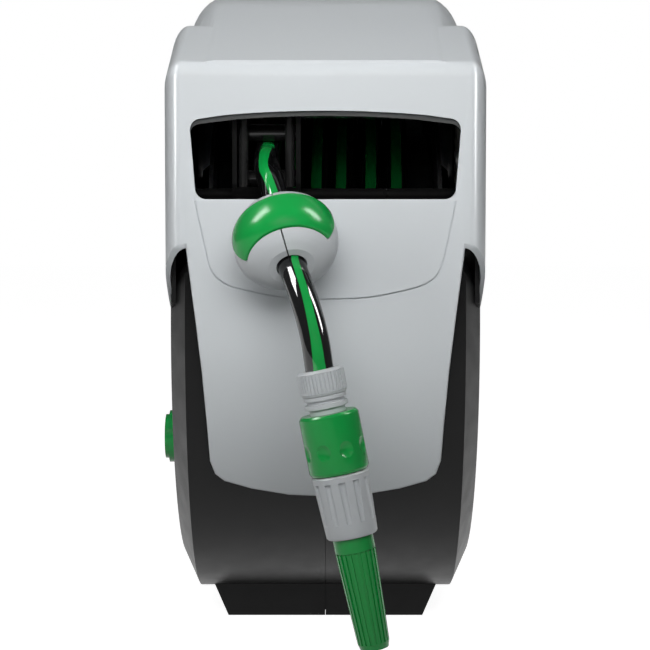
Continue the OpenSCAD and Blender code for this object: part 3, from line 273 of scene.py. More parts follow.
rings = round(RINGS_A_TURN * WOUND_TURNS)
wound_line = [wound_at(LEAD_ANGLE - 360 * WOUND_TURNS * i / rings) for i in range(rings + 1)]
wound_turn = through([(0, 0), (0.16, -12), (0.33, -12), (0.51, -18), (0.68, 4), (0.86, 3), (1, 0)])
hose_wound = tube("wound_hose", wound_line, away_from_axle, wound_turn, sides=20)
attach(hose_wound, "drum")
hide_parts("hose_outer_layer")
print("wound hose", round(line_length(wound_line), 2), "m on the outer layer")

# %% [markdown]
# The picture has a pure white ground. White comes from what the camera sees of the world and the
# floor, never from more light on the object. The world is one half of it: a Light Path node makes it
# white for the camera's own rays, while the object gets only a little light from it.

# %% World
ROOM_LIGHT = 0.13


def set_inputs(node, **values):
    """Sets inputs of a node by name. An underscore stands for a space."""
    for name, value in values.items():
        node.inputs[name.replace("_", " ")].default_value = value


def add_node(tree, kind, **values):
    node = tree.nodes.new("ShaderNode" + kind)
    set_inputs(node, **values)
    return node


world = bpy.data.worlds.new("studio")
world.use_nodes = True
bpy.context.scene.world = world
sky = world.node_tree
background = sky.nodes["Background"]
set_inputs(background, Color=(1, 1, 1, 1))
strength = add_node(sky, "MapRange", To_Min=ROOM_LIGHT, To_Max=1)
sky.links.new(add_node(sky, "LightPath").outputs["Is Camera Ray"], strength.inputs["Value"])
sky.links.new(strength.outputs["Result"], background.inputs["Strength"])
print("the room gives", ROOM_LIGHT, "of the light that the camera sees")

# %% [markdown]
# The floor is the other half. It glows for the camera's rays, for mirrored ones and for those that
# pass through glass, and is plain grey for all others. It keeps some real diffuse light beside its
# glow, so that a soft shadow can show on it.

# %% Floor
FLOOR_GAP = 0.0005
FLOOR_Z = cad_box[0].z - FLOOR_GAP
FLOOR_HALF = 6
FLOOR_GLOW = 0.93


def new_material(name):
    """A material that has nodes, and its node tree."""
    material = bpy.data.materials.new(name)
    material.use_nodes = True
    return material, material.node_tree


def seen_ray(tree):
    """1 for rays that show the background: straight, mirrored and through glass."""
    path = add_node(tree, "LightPath")
    total = path.outputs["Is Camera Ray"]
    for name in ("Is Glossy Ray", "Is Transmission Ray"):
        most = add_node(tree, "Math")
        most.operation = "MAXIMUM"
        tree.links.new(total, most.inputs[0])
        tree.links.new(path.outputs[name], most.inputs[1])
        total = most.outputs[0]
    return total


def white_paper():
    material, tree = new_material("white_paper")
    tree.nodes.clear()
    lit = add_node(tree, "BsdfDiffuse", Color=(0.25, 0.25, 0.25, 1))
    soft = add_node(tree, "BsdfDiffuse", Color=(0.5, 0.5, 0.5, 1))
    glow = add_node(tree, "Emission", Strength=FLOOR_GLOW)
    both = add_node(tree, "AddShader")
    pick = add_node(tree, "MixShader")
    out = add_node(tree, "OutputMaterial")
    tree.links.new(soft.outputs[0], both.inputs[0])
    tree.links.new(glow.outputs[0], both.inputs[1])
    tree.links.new(seen_ray(tree), pick.inputs[0])
    tree.links.new(lit.outputs[0], pick.inputs[1])
    tree.links.new(both.outputs[0], pick.inputs[2])
    tree.links.new(pick.outputs[0], out.inputs[0])
    return material


bm = bmesh.new()
bmesh.ops.create_grid(bm, x_segments=1, y_segments=1, size=FLOOR_HALF,
                      matrix=Matrix.Translation((0, 0, FLOOR_Z)))
floor = finish_mesh("floor", bm)
floor.data.materials.append(white_paper())
print("the floor lies at", round(FLOOR_Z, 4), "m")

# %% [markdown]
# Two tall soft boxes stand left and right of the camera, and a wide one hangs above. A lamp with a
# narrow beam, close to the front, lights the face around the window, so the light fades towards the
# apron's foot as it does in the picture. A weak copy of it fills in. These light matt surfaces only.
# Two strips high at the sides do the opposite: they show only as reflections, as the pair of white
# streaks on the hose and the two soft spots on the ball's band. Places and sizes are in metres.

# %% Lamps
LOOK_AT = place(0, FRONT, 30)


def soft_box(name, at, size, watts, lights, aim=LOOK_AT, spread=180):
    """An area lamp that lights matt surfaces, or else shows only as a reflection."""
    lamp = bpy.data.lights.new(name, "AREA")
    lamp.shape = "RECTANGLE"
    lamp.size, lamp.size_y = size
    lamp.energy = watts
    lamp.spread = math.radians(spread)
    box = bpy.data.objects.new(name, lamp)
    box.location = at
    box.rotation_euler = (aim - Vector(at)).to_track_quat("-Z", "Y").to_euler()
    box.visible_camera = False
    box.visible_glossy = lights == "reflection"
    box.visible_diffuse = lights == "matt"
    bpy.context.collection.objects.link(box)
    return box


soft_box("left_lamp", at=(-1.2, -1.5, 0.5), size=(0.2, 1.2), watts=3.9, lights="matt")
soft_box("right_lamp", at=(1.45, -1.1, 0.5), size=(0.2, 1.2), watts=0.5, lights="matt")
soft_box("top_lamp", at=(0, -0.7, 1.45), size=(1.5, 0.9), watts=3.6, lights="matt")
front_beam = {"at": (0, -1.3, 0.45), "size": (0.8, 0.35), "aim": place(-15, FRONT, 190), "spread": 62}
key_lamp = soft_box("key_lamp", watts=1.27, lights="matt", **front_beam)
soft_box("fill_lamp", watts=0.14, lights="matt", **front_beam)
soft_box("left_strip", at=(-1.25, -0.8, 1.35), size=(0.5, 1.0), watts=34, lights="reflection")
soft_box("right_strip", at=(1.4, -0.7, 1.35), size=(0.45, 1.1), watts=34, lights="reflection")
print("lamps:", len(bpy.data.lights))

# %% [markdown]
# The inside of the case is dark in the picture. Light linking lets the key lamp pass over the wound
# hose, so its stripes only get the little that the other lamps send through the window.

# %% Keep the inside dark
unlit = bpy.data.collections.new("not_lit_by_key")
unlit.objects.link(hose_wound)
unlit.collection_objects[0].light_linking.link_state = "EXCLUDE"
key_lamp.light_linking.receiver_collection = unlit

# %% [markdown]
# Every finish is a small node tree on the Principled shader. Moulded plastic is never one flat
# colour: a broad noise makes faint clouds in it, a finer one makes its gloss uneven, and the finest
# is the spark texture of the mould. Object coordinates are in metres, so the scales are large. The
# cover's light grey is the first plastic, and the most even one.

# %% Moulded plastic
CLOUD_SCALE = 18
GLOSS_SCALE = 60
TEXTURE_HEIGHT = 0.0002


def link_noise(tree, scale, detail, rough=0.5):
    where = add_node(tree, "TexCoord")
    noise = add_node(tree, "TexNoise", Scale=scale, Detail=detail, Roughness=rough)
    tree.links.new(where.outputs["Object"], noise.inputs["Vector"])
    return noise.outputs["Fac"]


def between(tree, value, low, high):
    """The noise, which keeps to the middle of 0 to 1, spread from low to high."""
    spread = add_node(tree, "MapRange", From_Min=0.3, From_Max=0.7, To_Min=low, To_Max=high)
    tree.links.new(value, spread.inputs["Value"])
    return spread.outputs["Result"]


def blend_colours(tree, share, first, second):
    """A mix of two colours, each a triple of numbers or a socket."""
    mix = add_node(tree, "Mix")
    mix.data_type = "RGBA"
    for socket, colour in (("A", first), ("B", second)):
        at = [s for s in mix.inputs if s.name == socket and s.type == "RGBA"][0]
        if isinstance(colour, bpy.types.NodeSocket):
            tree.links.new(colour, at)
        else:
            at.default_value = (*colour, 1)
    tree.links.new(share, mix.inputs["Factor"])
    return [s for s in mix.outputs if s.type == "RGBA"][0]


def shade(colour, factor):
    return tuple(c * factor for c in colour)


def link_bump(tree, shader, noise, strength, height):
    bump = add_node(tree, "Bump", Strength=strength, Distance=height)
    tree.links.new(noise, bump.inputs["Height"])
    tree.links.new(bump.outputs["Normal"], shader.inputs["Normal"])


def moulded(name, colour, gloss, grain=1600, depth=0.02, clouds=0.05, shine=0.5, uneven=0.1):
    """Moulded plastic: gloss is the mean roughness, depth how strong the mould's texture is."""
    material, tree = new_material(name)
    shader = tree.nodes["Principled BSDF"]
    clouded = blend_colours(tree, link_noise(tree, CLOUD_SCALE, detail=2),
                            shade(colour, 1 - clouds), shade(colour, 1 + clouds))
    rough = between(tree, link_noise(tree, GLOSS_SCALE, detail=3),
                    low=gloss * (1 - uneven), high=gloss * (1 + uneven))
    tree.links.new(clouded, shader.inputs["Base Color"])
    tree.links.new(rough, shader.inputs["Roughness"])
    link_bump(tree, shader, link_noise(tree, grain, detail=2), depth, TEXTURE_HEIGHT)
    set_inputs(shader, Specular_IOR_Level=shine)
    return material


GREY = (0.60, 0.63, 0.65)
light_grey = moulded("light_grey_plastic", GREY, gloss=0.3, depth=0.03, clouds=0.008, shine=0.3,
                     uneven=0.03)
print("the first finish is", light_grey.name)

# %% [markdown]
# The other plastics differ from it in colour, gloss and texture. The hose's fittings are a slightly
# darker grey, and the green is a glossy one. The case is a dull black with a strong, fine texture, so
# it swallows the light. The rollers are nearly polished, for the hose has to run over them with ease.

# %% Other plastics
GREEN = (0.005, 0.33, 0.058)
fitting_grey = moulded("fitting_grey_plastic", shade(GREY, 0.92), gloss=0.4, depth=0.04, clouds=0.02)
green_gloss = moulded("green_plastic", GREEN, gloss=0.22, clouds=0.06, shine=0.3)
case_black = moulded("case_black_plastic", (0.006, 0.006, 0.0062), gloss=0.4, grain=2600,
                     depth=0.22, clouds=0.08, shine=0.17)
# The window's lining is dark grey: this colour is painted shade, the shade that falls on the inside
# of the window's top edge.
painted_shade_trim = moulded("window_lining_painted_shade", (0.055, 0.058, 0.058), gloss=0.45, grain=2600, depth=0.2)
grip_black = moulded("grip_black_plastic", (0.024, 0.024, 0.024), gloss=0.5, grain=1200, depth=0.3)
drum_black = moulded("drum_black_plastic", (0.02, 0.02, 0.021), gloss=0.35, depth=0.05)
roller_black = moulded("roller_black_plastic", (0.012, 0.012, 0.012), gloss=0.13, depth=0.01)
guide_black = moulded("guide_black_plastic", (0.004, 0.004, 0.004), gloss=0.3, shine=0.12)
gear_white = moulded("gear_plastic", (0.72, 0.70, 0.63), gloss=0.4, depth=0.03)
seal_black = moulded("seal_rubber", (0.018, 0.018, 0.018), gloss=0.6, depth=0.1)
plastics = [light_grey, fitting_grey, green_gloss, case_black, painted_shade_trim, grip_black, drum_black,
            roller_black, guide_black, gear_white, seal_black]
print("plastic and rubber finishes:", len(plastics))

# %% [markdown]
# Metal needs its own recipe. Zinc-plated steel is a metal with faint cloudy patches, blued spring
# steel is darker and brass is warm. The wall bracket is powder-coated, and that paint is moulded
# plastic again, with a coarser texture for its orange peel.

# %% Metal finishes
PATCH_SCALE = 250
PATCH_CONTRAST = 0.12


def metal(name, colour, rough):
    material, tree = new_material(name)
    shader = tree.nodes["Principled BSDF"]
    set_inputs(shader, Metallic=1)
    patches = link_noise(tree, PATCH_SCALE, detail=4, rough=0.6)
    patched = blend_colours(tree, patches, shade(colour, 1 - PATCH_CONTRAST),
                            shade(colour, 1 + PATCH_CONTRAST))
    tree.links.new(patched, shader.inputs["Base Color"])
    uneven = between(tree, patches, low=rough * 0.8, high=rough * 1.25)
    tree.links.new(uneven, shader.inputs["Roughness"])
    return material


zinc = metal("zinc_plated_steel", (0.55, 0.56, 0.57), rough=0.32)
blued = metal("blued_spring_steel", (0.20, 0.205, 0.22), rough=0.3)
brass = metal("turned_brass", (0.70, 0.50, 0.20), rough=0.25)
powder = moulded("powder_coat", (0.045, 0.045, 0.047), gloss=0.5, grain=900, depth=0.35)
print("metal finishes:", zinc.name, blued.name, brass.name, powder.name)

# %% [markdown]
# The hose is glossy black with a green stripe. Its colour reads the "facing" number that each tube
# carries. A narrow ramp between black and green keeps the stripe's edge crisp without jagged steps,
# and a faint ripple breaks up the mirror image of the strips.

# %% Hose finish
STRIPE_HALF_ANGLE = 27
STRIPE_EDGE = 1
BLACK_DARKEST = (0.003, 0.003, 0.0033)
BLACK_LIGHTEST = (0.006, 0.006, 0.0065)


def striped_hose():
    material, tree = new_material("striped_hose")
    shader = tree.nodes["Principled BSDF"]
    facing = add_node(tree, "Attribute")
    facing.attribute_name = "facing"
    edge = add_node(tree, "MapRange",
                    From_Min=math.cos(math.radians(STRIPE_HALF_ANGLE + STRIPE_EDGE)),
                    From_Max=math.cos(math.radians(STRIPE_HALF_ANGLE - STRIPE_EDGE)))
    tree.links.new(facing.outputs["Fac"], edge.inputs["Value"])
    black = blend_colours(tree, link_noise(tree, scale=90, detail=3), BLACK_DARKEST, BLACK_LIGHTEST)
    green = blend_colours(tree, link_noise(tree, scale=70, detail=3), shade(GREEN, 0.85),
                          shade(GREEN, 1.1))
    striped = blend_colours(tree, edge.outputs["Result"], black, green)
    rough = between(tree, link_noise(tree, scale=120, detail=3), low=0.05, high=0.09)
    tree.links.new(striped, shader.inputs["Base Color"])
    tree.links.new(rough, shader.inputs["Roughness"])
    link_bump(tree, shader, link_noise(tree, scale=160, detail=2), strength=0.05, height=0.0005)
    set_inputs(shader, Specular_IOR_Level=0.7)
    return material


hose_skin = striped_hose()
for piece in (hose_free, hose_lead, hose_wound):
    piece.data.materials.append(hose_skin)
print("the stripe takes up", round(2 * STRIPE_HALF_ANGLE / 360, 2), "of the hose's round")

# %% [markdown]
# The cover is the reel's face: a helmet of light grey plastic about 2.7 mm thick. It is drawn as
# seen from the side, as (ahead, up). A low and wide body gives the shoulders, with a rounded brow at
# the front. A narrower and higher one gives the crown. Both roofs are arcs that meet at one join on
# the back. The lower one ends level, the higher one on the brow's slope. Every outline can be drawn
# in by d, which is how the inside of the wall is made later.

# %% Outlines of the cover
TOP_H = 235
SHOULDER_H = 206.5
REAR_JOIN = (-160.05, 121.9)
CROWN_U = 20
CROWN_STEP = 0.8
CROWN_BACK = 4
BROW_SLOPE = 21
BROW_R = 12
BROW_R_LEAST = 1.5
BLEND_R = 30
BLEND_R_LEAST = 1
BASE_Z = -60


def polar(centre, r, degrees):
    a = math.radians(degrees)
    return (centre[0] + r * math.cos(a), centre[1] + r * math.sin(a))


def arc(centre, r, start, end, steps):
    return [polar(centre, r, start + (end - start) * i / steps) for i in range(steps + 1)]


def roof_radius(height):
    """The radius of the arc that is level at that height and passes through the rear join."""
    rise, run = height - REAR_JOIN[1], CROWN_U - REAR_JOIN[0]
    return (run ** 2 + rise ** 2) / (2 * rise)


CROWN_ROOF = roof_radius(TOP_H)
SHOULDER_ROOF = roof_radius(SHOULDER_H)
LEAN = (math.sin(math.radians(BROW_SLOPE)), math.cos(math.radians(BROW_SLOPE)))
BROW_LINE = LEAN[0] * CROWN_U + LEAN[1] * (TOP_H - CROWN_ROOF) + CROWN_ROOF
BLEND_U = (BROW_LINE - BLEND_R - LEAN[1] * (SHOULDER_H - BLEND_R)) / LEAN[0]


def slope_height(ahead, inset):
    """How high the brow's slope is there."""
    return (BROW_LINE - inset - LEAN[0] * ahead) / LEAN[1]


def shoulder_outline(d):
    brow = max(BROW_R - d, BROW_R_LEAST)
    brow_u = FRONT - d - brow
    blend = max(BLEND_R - d, BLEND_R_LEAST)
    return ([(CROWN_U - (SHOULDER_ROOF - d), BASE_Z)]
            + arc((CROWN_U, SHOULDER_H - SHOULDER_ROOF), SHOULDER_ROOF - d, 180, 90, steps=24)
            + arc((BLEND_U, SHOULDER_H - BLEND_R), blend, 90, 90 - BROW_SLOPE, steps=5)
            + arc((brow_u, slope_height(brow_u, d + brow)), brow, 90 - BROW_SLOPE, 0, steps=10)
            + [(FRONT - d, BASE_Z)])


def crown_outline(d):
    front = FRONT - CROWN_BACK - d
    roof = CROWN_ROOF + CROWN_STEP - d
    return ([(CROWN_U - (CROWN_ROOF - d), BASE_Z)]
            + arc((CROWN_U, TOP_H - CROWN_ROOF), roof, 180, 90 - BROW_SLOPE, steps=30)
            + [(front, slope_height(front, d - CROWN_STEP)), (front, BASE_Z)])


print("the roofs' radii are", round(SHOULDER_ROOF, 1), "and", round(CROWN_ROOF, 1), "mm")

# %% [markdown]
# On the real mould each side is a plain profile with generously rounded edges. Copies of the outline,
# drawn in a little more each time towards the sides, are bridged into a body. A Boolean modifier then
# joins and cuts closed bodies the way a mould maker would. Each one is applied at once, so that the
# next works on a plain mesh, and the tool piece is thrown away.

# %% Body of the cover
COVER_HALF_W = 103.6
CROWN_HALF_W = 70
SHOULDER_ROUND_W, SHOULDER_ROUND_IN = 12, 24
CROWN_ROUND_W, CROWN_ROUND_IN = 26, 34
ROUND_STEPS = 9


def outline_ring(bm, outline, across):
    verts = [bm.verts.new(place(across, u, z)) for u, z in outline]
    return [bm.edges.new((a, b)) for a, b in zip(verts, verts[1:] + verts[:1])]


def rounded_body(name, outline, half_w, round_w, round_in, d):
    """The outline across the case, with an elliptic round of that width and inset at each side."""
    bm = bmesh.new()
    rounds = [math.radians(90 * i / ROUND_STEPS) for i in range(ROUND_STEPS, -1, -1)]
    stations = [(-(half_w - round_w * (1 - math.sin(a)) - d), round_in * (1 - math.cos(a)))
                for a in rounds]
    stations += [(-x, inset) for x, inset in reversed(stations)]
    loops = [outline_ring(bm, outline(inset + d), x) for x, inset in stations]
    for a, b in zip(loops, loops[1:]):
        bmesh.ops.bridge_loops(bm, edges=a + b)
    bmesh.ops.holes_fill(bm, edges=loops[0] + loops[-1], sides=0)
    bmesh.ops.recalc_face_normals(bm, faces=bm.faces)
    return finish_mesh(name, bm)


def combined(piece, tool, how):
    """The piece joined to the tool, cut by it or kept to it."""
    change = piece.modifiers.new("combine", "BOOLEAN")
    change.operation = how
    change.solver = "EXACT"
    change.object = tool
    shown = piece.evaluated_get(bpy.context.evaluated_depsgraph_get())
    mesh = bpy.data.meshes.new_from_object(shown)
    piece.modifiers.clear()
    old = piece.data
    piece.data = mesh
    bpy.data.meshes.remove(old)
    bpy.data.objects.remove(tool)
    return piece


def cover_form(d):
    """The solid helmet, drawn in by d on all sides."""
    shoulders = rounded_body("shoulders", shoulder_outline, COVER_HALF_W,
                             SHOULDER_ROUND_W, SHOULDER_ROUND_IN, d)
    crown = rounded_body("crown", crown_outline, CROWN_HALF_W + CROWN_ROUND_W,
                         CROWN_ROUND_W, CROWN_ROUND_IN, d)
    return combined(shoulders, crown, "UNION")


helmet = cover_form(0)
print("solid helmet:", len(helmet.data.polygons), "faces")

# %% [markdown]
# The sides sweep up from a low point near the front, so the black shells show below them. The sweep's
# edge is an arc that rises to the tip at the front, and runs straight up towards the back. The
# helmet is kept above that edge, and then hollowed by a smaller helmet.

# %% Sweep of the sides
COVER_WALL = 2.7
FAR = 400
TIP_Z = 62
SWEEP_LOW = (90, 5)
SWEEP_SLOPE = 28
SWEEP_R = ((FRONT - SWEEP_LOW[0]) ** 2 + (TIP_Z - SWEEP_LOW[1]) ** 2) / (2 * (TIP_Z - SWEEP_LOW[1]))
SWEEP_C = (SWEEP_LOW[0], SWEEP_LOW[1] + SWEEP_R)
SWEEP_LEAN = (-math.sin(math.radians(SWEEP_SLOPE)), -math.cos(math.radians(SWEEP_SLOPE)))


def sweep_height(ahead):
    """How high the straight part of the sweep is there."""
    reach = SWEEP_C[0] * SWEEP_LEAN[0] + SWEEP_C[1] * SWEEP_LEAN[1] + SWEEP_R
    return (reach - SWEEP_LEAN[0] * ahead) / SWEEP_LEAN[1]


def prism(name, outline, start, end, axis="X"):
    """A closed outline (ahead, up) pushed along X, or (across, up) pushed forward."""
    bm = bmesh.new()
    if axis == "X":
        verts = [bm.verts.new(place(start, u, z)) for u, z in outline]
        push = Vector((end - start, 0, 0)) * MM
    else:
        verts = [bm.verts.new(place(x, start, z)) for x, z in outline]
        push = Vector((0, start - end, 0)) * MM
    face = bm.faces.new(verts)
    made = bmesh.ops.extrude_face_region(bm, geom=[face])["geom"]
    bmesh.ops.translate(bm, vec=push, verts=[g for g in made if isinstance(g, bmesh.types.BMVert)])
    bmesh.ops.recalc_face_normals(bm, faces=bm.faces)
    return finish_mesh(name, bm)


sweep_end = -math.degrees(math.asin((SWEEP_C[1] - TIP_Z) / SWEEP_R))
sweep_edge = ([(-FAR, sweep_height(-FAR))]
              + arc(SWEEP_C, SWEEP_R, -90 - SWEEP_SLOPE, sweep_end, steps=40) + [(FAR, TIP_Z)])
cover = combined(helmet, prism("above_sweep", sweep_edge + [(FAR, FAR), (-FAR, FAR)], -FAR, FAR),
                 "INTERSECT")
cover = combined(cover, cover_form(COVER_WALL), "DIFFERENCE")
print("the sweep's radius is", round(SWEEP_R, 1), "mm")

# %% [markdown]
# The apron runs down from the cover over the front of the drum. Seen from the front it is a tongue
# with a rounded foot, and from the side it follows the case's round. So it is a flat tongue pushed
# forward and kept to a drum shape. Its rim gets a wide bevel, a smaller apron hollows it, and the
# shells' round is cut out behind it.

# %% Apron
APRON_LOW = -105
APRON_FOOT = APRON_LOW + 15
APRON_BACK = CASE_R * 0.5
APRON_ROUND = 2.6
RIM_OVER = 50
RIM_NEAR = 0.4
PAST_FRONT = FRONT + 5
ROOM_GAP = 0.3
ROOM_HALF_L = 150
apron_half = [(0, APRON_LOW), (24, -103.9), (48.5, -99.4), (66, -94), (72, -89), (75, -80),
              (76.4, -55), (79, -22), (82.7, 10), (86.4, 39), (89.5, TIP_Z + 2)]


def mirrored(half):
    """The half outline and its mirror image. A point on the middle line is taken once."""
    return half + [(-x, z) for x, z in reversed(half) if x]


def apron_form(d):
    """The solid apron, with its front, its sides and its foot drawn in by d."""
    half = [(max(x - d, 0), z) if z > APRON_FOOT else (x, z + d) for x, z in apron_half]
    sheet = prism("apron", mirrored(half), APRON_BACK, PAST_FRONT, axis="Y")
    front = arc((0, 0), FRONT - d, -90, 0, steps=45)
    drum = prism("apron_round", front + [(FRONT - d, FAR / 2), (0, FAR / 2)], -FAR / 2, FAR / 2)
    return combined(sheet, drum, "INTERSECT")


def bevel_rim(piece):
    """Rounds the edges between the rounded front and the sides of the apron."""
    bm = bmesh.new()
    bm.from_mesh(piece.data)
    rim = []
    for edge in bm.edges:
        reach = [math.hypot(v.co.y - AXLE_Y * MM, min(v.co.z, 0)) for v in edge.verts]
        if min(reach) > (FRONT - RIM_NEAR) * MM and edge.calc_face_angle(0) > math.radians(RIM_OVER):
            rim.append(edge)
    bmesh.ops.bevel(bm, geom=rim, offset=APRON_ROUND * MM, segments=4, profile=0.5, affect="EDGES",
                    clamp_overlap=True)
    bm.to_mesh(piece.data)
    bm.free()
    print("bevelled", len(rim), "edges of the apron")
    return piece


def axle_rod(name, r, half_l, segments):
    """A rod about the axle."""
    bm = bmesh.new()
    stand = Matrix.Translation(place(0, 0, 0)) @ Matrix.Rotation(math.radians(90), 4, "Y")
    bmesh.ops.create_cone(bm, cap_ends=True, segments=segments, radius1=r * MM, radius2=r * MM,
                          depth=2 * half_l * MM, matrix=stand)
    return finish_mesh(name, bm)


apron = combined(bevel_rim(apron_form(0)), apron_form(COVER_WALL), "DIFFERENCE")
apron = combined(apron, axle_rod("drum_room", CASE_R + ROOM_GAP, ROOM_HALF_L, 128), "DIFFERENCE")
cover = combined(cover, apron, "UNION")
print("cover with its apron:", len(cover.data.polygons), "faces")

# %% [markdown]
# A raised chin panel lies on the apron under the window, with a fine groove around it. The groove is
# cut first, with the panel's outline grown by its width. The panel is then set into the cut, so that
# a gap is left at its sides and its foot.

# %% Chin panel
CHIN_LOW = 27
CHIN_STEP = 1.2
CHIN_ROOT = 1.5
GROOVE_W = 0.9
GROOVE_DEPTH = 1.2
chin_corners = [(0, CHIN_LOW), (16, 27.4), (32.9, 29), (56, 34), (66.5, 38.5),
                (72.5, 45.5), (75.2, 55), (78, 68), (82.4, 89)]
chin_curve = smooth_line([(x, z, 0) for x, z in chin_corners], LINE_STEPS)
chin_half = [(0, CHIN_LOW)] + [(v.x, v.y) for v in chin_curve[1:]]


def chin_outline(grow):
    """The chin's outline, moved outward on all sides but the top."""
    half = []
    for i, (x, z) in enumerate(chin_half):
        before, after = chin_half[max(i - 1, 0)], chin_half[min(i + 1, len(chin_half) - 1)]
        along = Vector((after[0] - before[0], after[1] - before[1])).normalized()
        half.append((x + along.y * grow if i else 0, z - along.x * grow))
    return mirrored(half)


groove = prism("chin_groove", chin_outline(GROOVE_W), FRONT - GROOVE_DEPTH, PAST_FRONT, axis="Y")
cover = combined(cover, groove, "DIFFERENCE")
chin = prism("chin", chin_outline(0), FRONT - CHIN_ROOT, FRONT + CHIN_STEP, axis="Y")
cover = combined(cover, chin, "UNION")
print("the chin stands out by", CHIN_STEP, "mm")

# %% [markdown]
# The window is a wide hole with rounded corners and a gently arched top. On the roof a well is cut
# for the hand, around the carrying bar.

# %% Window and well
WINDOW_HALF_W = 85.9
WINDOW_TAPER = 3
WINDOW_LOW = 90
WINDOW_HIGH = 141
WINDOW_RISE = 5
WINDOW_CORNER = 7
WINDOW_BACK = FRONT - 30
WINDOW_AHEAD = FRONT + 20
ARCH_STEPS = 12
WELL_HALF_L = 62.3
WELL_FRONT = 34.3
WELL_BACK = 60.3
WELL_FLOOR = 196


def window_outline():
    w, low_w, c = WINDOW_HALF_W, WINDOW_HALF_W - WINDOW_TAPER, WINDOW_CORNER
    arch = [(i * w / ARCH_STEPS, WINDOW_HIGH + WINDOW_RISE * (1 - (i / ARCH_STEPS) ** 2))
            for i in range(ARCH_STEPS * 3 // 4, -1, -1)]
    return mirrored(arc((low_w - c, WINDOW_LOW + c), c, -90, 0, steps=8)
                    + arc((w - c, WINDOW_HIGH - c), c, 0, 80, steps=8) + arch)


window = prism("window", window_outline(), WINDOW_BACK, WINDOW_AHEAD, axis="Y")
cover = combined(cover, window, "DIFFERENCE")
well = [(-WELL_BACK, WELL_FLOOR), (WELL_FRONT, WELL_FLOOR), (WELL_FRONT, FAR), (-WELL_BACK, FAR)]
cover = combined(cover, prism("well", well, -WELL_HALF_L, WELL_HALF_L), "DIFFERENCE")
cover.name = "cover_moulding"
print("cover:", len(cover.data.polygons), "faces")

# %% [markdown]
# Fresh Boolean cuts leave knife edges, which plastic never has. A bevel rounds them, and the
# Weighted Normal modifier keeps the big faces flat-looking, so only the rounds catch the light. The
# chin's groove stays crisp, so the bevel works by weight here: each edge says if it is to be rounded.

# %% Soften the cut edges
COVER_EDGE = 0.7
SHARP_OVER = 40
CUT_OVER = 50
CRISP_FROM = FRONT - 1.6
CRISP_LOW = CHIN_LOW - 2
CRISP_HIGH = WINDOW_LOW - 0.4


def soften(piece, width, segments):
    rounding = piece.modifiers.new("soft_edges", "BEVEL")
    rounding.width = width * MM
    rounding.segments = segments
    rounding.limit_method = "ANGLE"
    rounding.angle_limit = math.radians(SHARP_OVER)
    rounding.miter_outer = "MITER_ARC"
    even = piece.modifiers.new("even_faces", "WEIGHTED_NORMAL")
    even.keep_sharp = True


def keep_from_rounding(piece, crisp):
    """Weighs the bevel: sharp edges get 1, those for which crisp(middle) is true get 0."""
    bm = bmesh.new()
    bm.from_mesh(piece.data)
    weight = bm.edges.layers.float.new("bevel_weight_edge")
    for edge in bm.edges:
        middle = (edge.verts[0].co + edge.verts[1].co) / 2
        sharp = edge.calc_face_angle(0) > math.radians(CUT_OVER)
        edge[weight] = 1 if sharp and not crisp(middle) else 0
    bm.to_mesh(piece.data)
    bm.free()
    piece.modifiers["soft_edges"].limit_method = "WEIGHT"


def beside_chin(point):
    """True near the groove, but not at the window's own edge."""
    ahead, up = AXLE_Y - point.y / MM, point.z / MM
    return ahead > CRISP_FROM and CRISP_LOW < up < CRISP_HIGH


soften(cover, COVER_EDGE, segments=3)
keep_from_rounding(cover, beside_chin)
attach(cover, "case")
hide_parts("top_cover")
cover.data.materials.clear()
cover.data.materials.append(light_grey)
print("the cover's cut edges are rounded by", COVER_EDGE, "mm")

# %% [markdown]
# A soft bright line runs down each rounded side of the cover in the picture. It is the mirror image
# of a tall lamp far out to the side. Light linking keeps these two lamps to the cover.

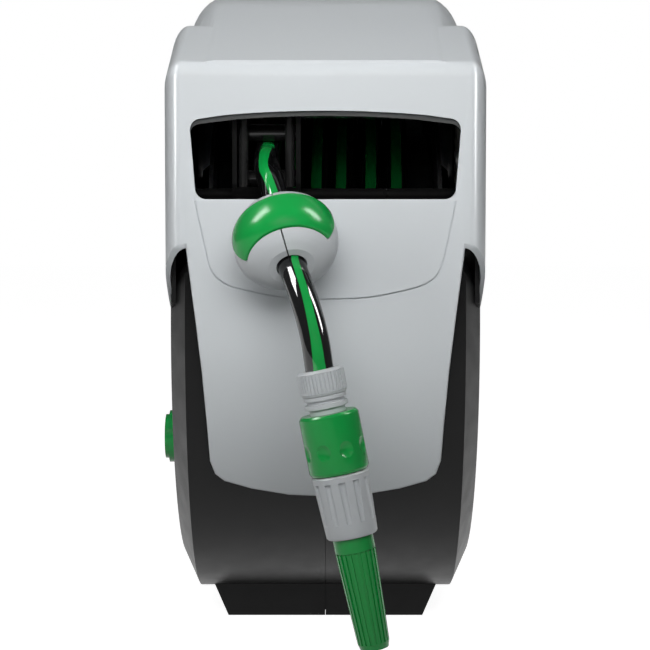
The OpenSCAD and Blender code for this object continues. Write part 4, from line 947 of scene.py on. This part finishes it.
# %% Bright lines on the sides of the cover
SIDE_AIM = place(0, FRONT, 130)
only_cover = bpy.data.collections.new("lit_by_side_strips")
only_cover.objects.link(cover)
for name, across in (("left_side_strip", -1.6), ("right_side_strip", 1.6)):
    strip = soft_box(name, at=(across, -1.15, 0.42), size=(0.3, 0.55), watts=42, lights="reflection",
                     aim=SIDE_AIM)
    strip.light_linking.receiver_collection = only_cover

# %% [markdown]
# The CAD nodes that already have the right shape stay, and only get a finish. The table below reads
# like a parts list: which finish goes on which pieces, and how round the mould made their edges, in
# millimetres. CAD nodes are loose triangles, so a Weld modifier joins them before the bevel.

# %% Finish the CAD parts
WELD_REACH = 0.01


def weld(piece):
    join = piece.modifiers.new("joined", "WELD")
    join.merge_threshold = WELD_REACH * MM


finishes = [
    (case_black, 0.8, ["left_shell", "right_shell", "swivel_column"]),
    # the window's lining carries the painted shade of the window's top edge
    (painted_shade_trim, 0.5, ["window_lining"]),
    (grip_black, 0.6, ["handle_tray", "handle_bar", "inlet_socket", "inlet_spigot"]),
    (fitting_grey, 0.4, ["hose_nut", "connector_body", "nozzle_grip"]),
    (light_grey, 0.6, ["stop_ball_left", "stop_ball_right"]),
    (green_gloss, 0.4, ["stop_ball_band", "release_collar", "nozzle_barrel", "inlet_elbow"]),
    (drum_black, 0.3, ["drum_hub", "left_flange", "right_flange", "ratchet_ring", "drum_gear"]),
    (roller_black, 0.3, ["roller_left", "roller_right", "roller_top", "roller_bottom"]),
    (guide_black, 0.3, ["guide_carriage", "guide_rail"]),
    (gear_white, 0, ["idler_gear_lower", "idler_gear_upper", "traverse_pinion"]),
    (zinc, 0.2, ["swivel_rod", "column_screws", "case_screws", "axle", "gear_pins",
                 "pawl_pin", "flange_screws", "traverse_shaft", "thread_follower", "ball_screws",
                 "lock_pawl", "feed_pipe"]),
    (blued, 0, ["rod_clip", "axle_clips", "pawl_spring", "power_spring", "spring_case"]),
    (powder, 0.7, ["wall_bracket"]),
    (brass, 0.2, ["hose_barb"]),
    (hose_skin, 0, ["hose_inner_layers"]),
    (seal_black, 0, ["nozzle_seal"]),
]
for material, edge_round, names in finishes:
    for name in names:
        node = nodes[name]
        node.data.materials.clear()
        node.data.materials.append(material)
        if edge_round:
            weld(node)
            soften(node, edge_round, segments=2)
print("finished", sum(len(names) for _, _, names in finishes), "CAD nodes")
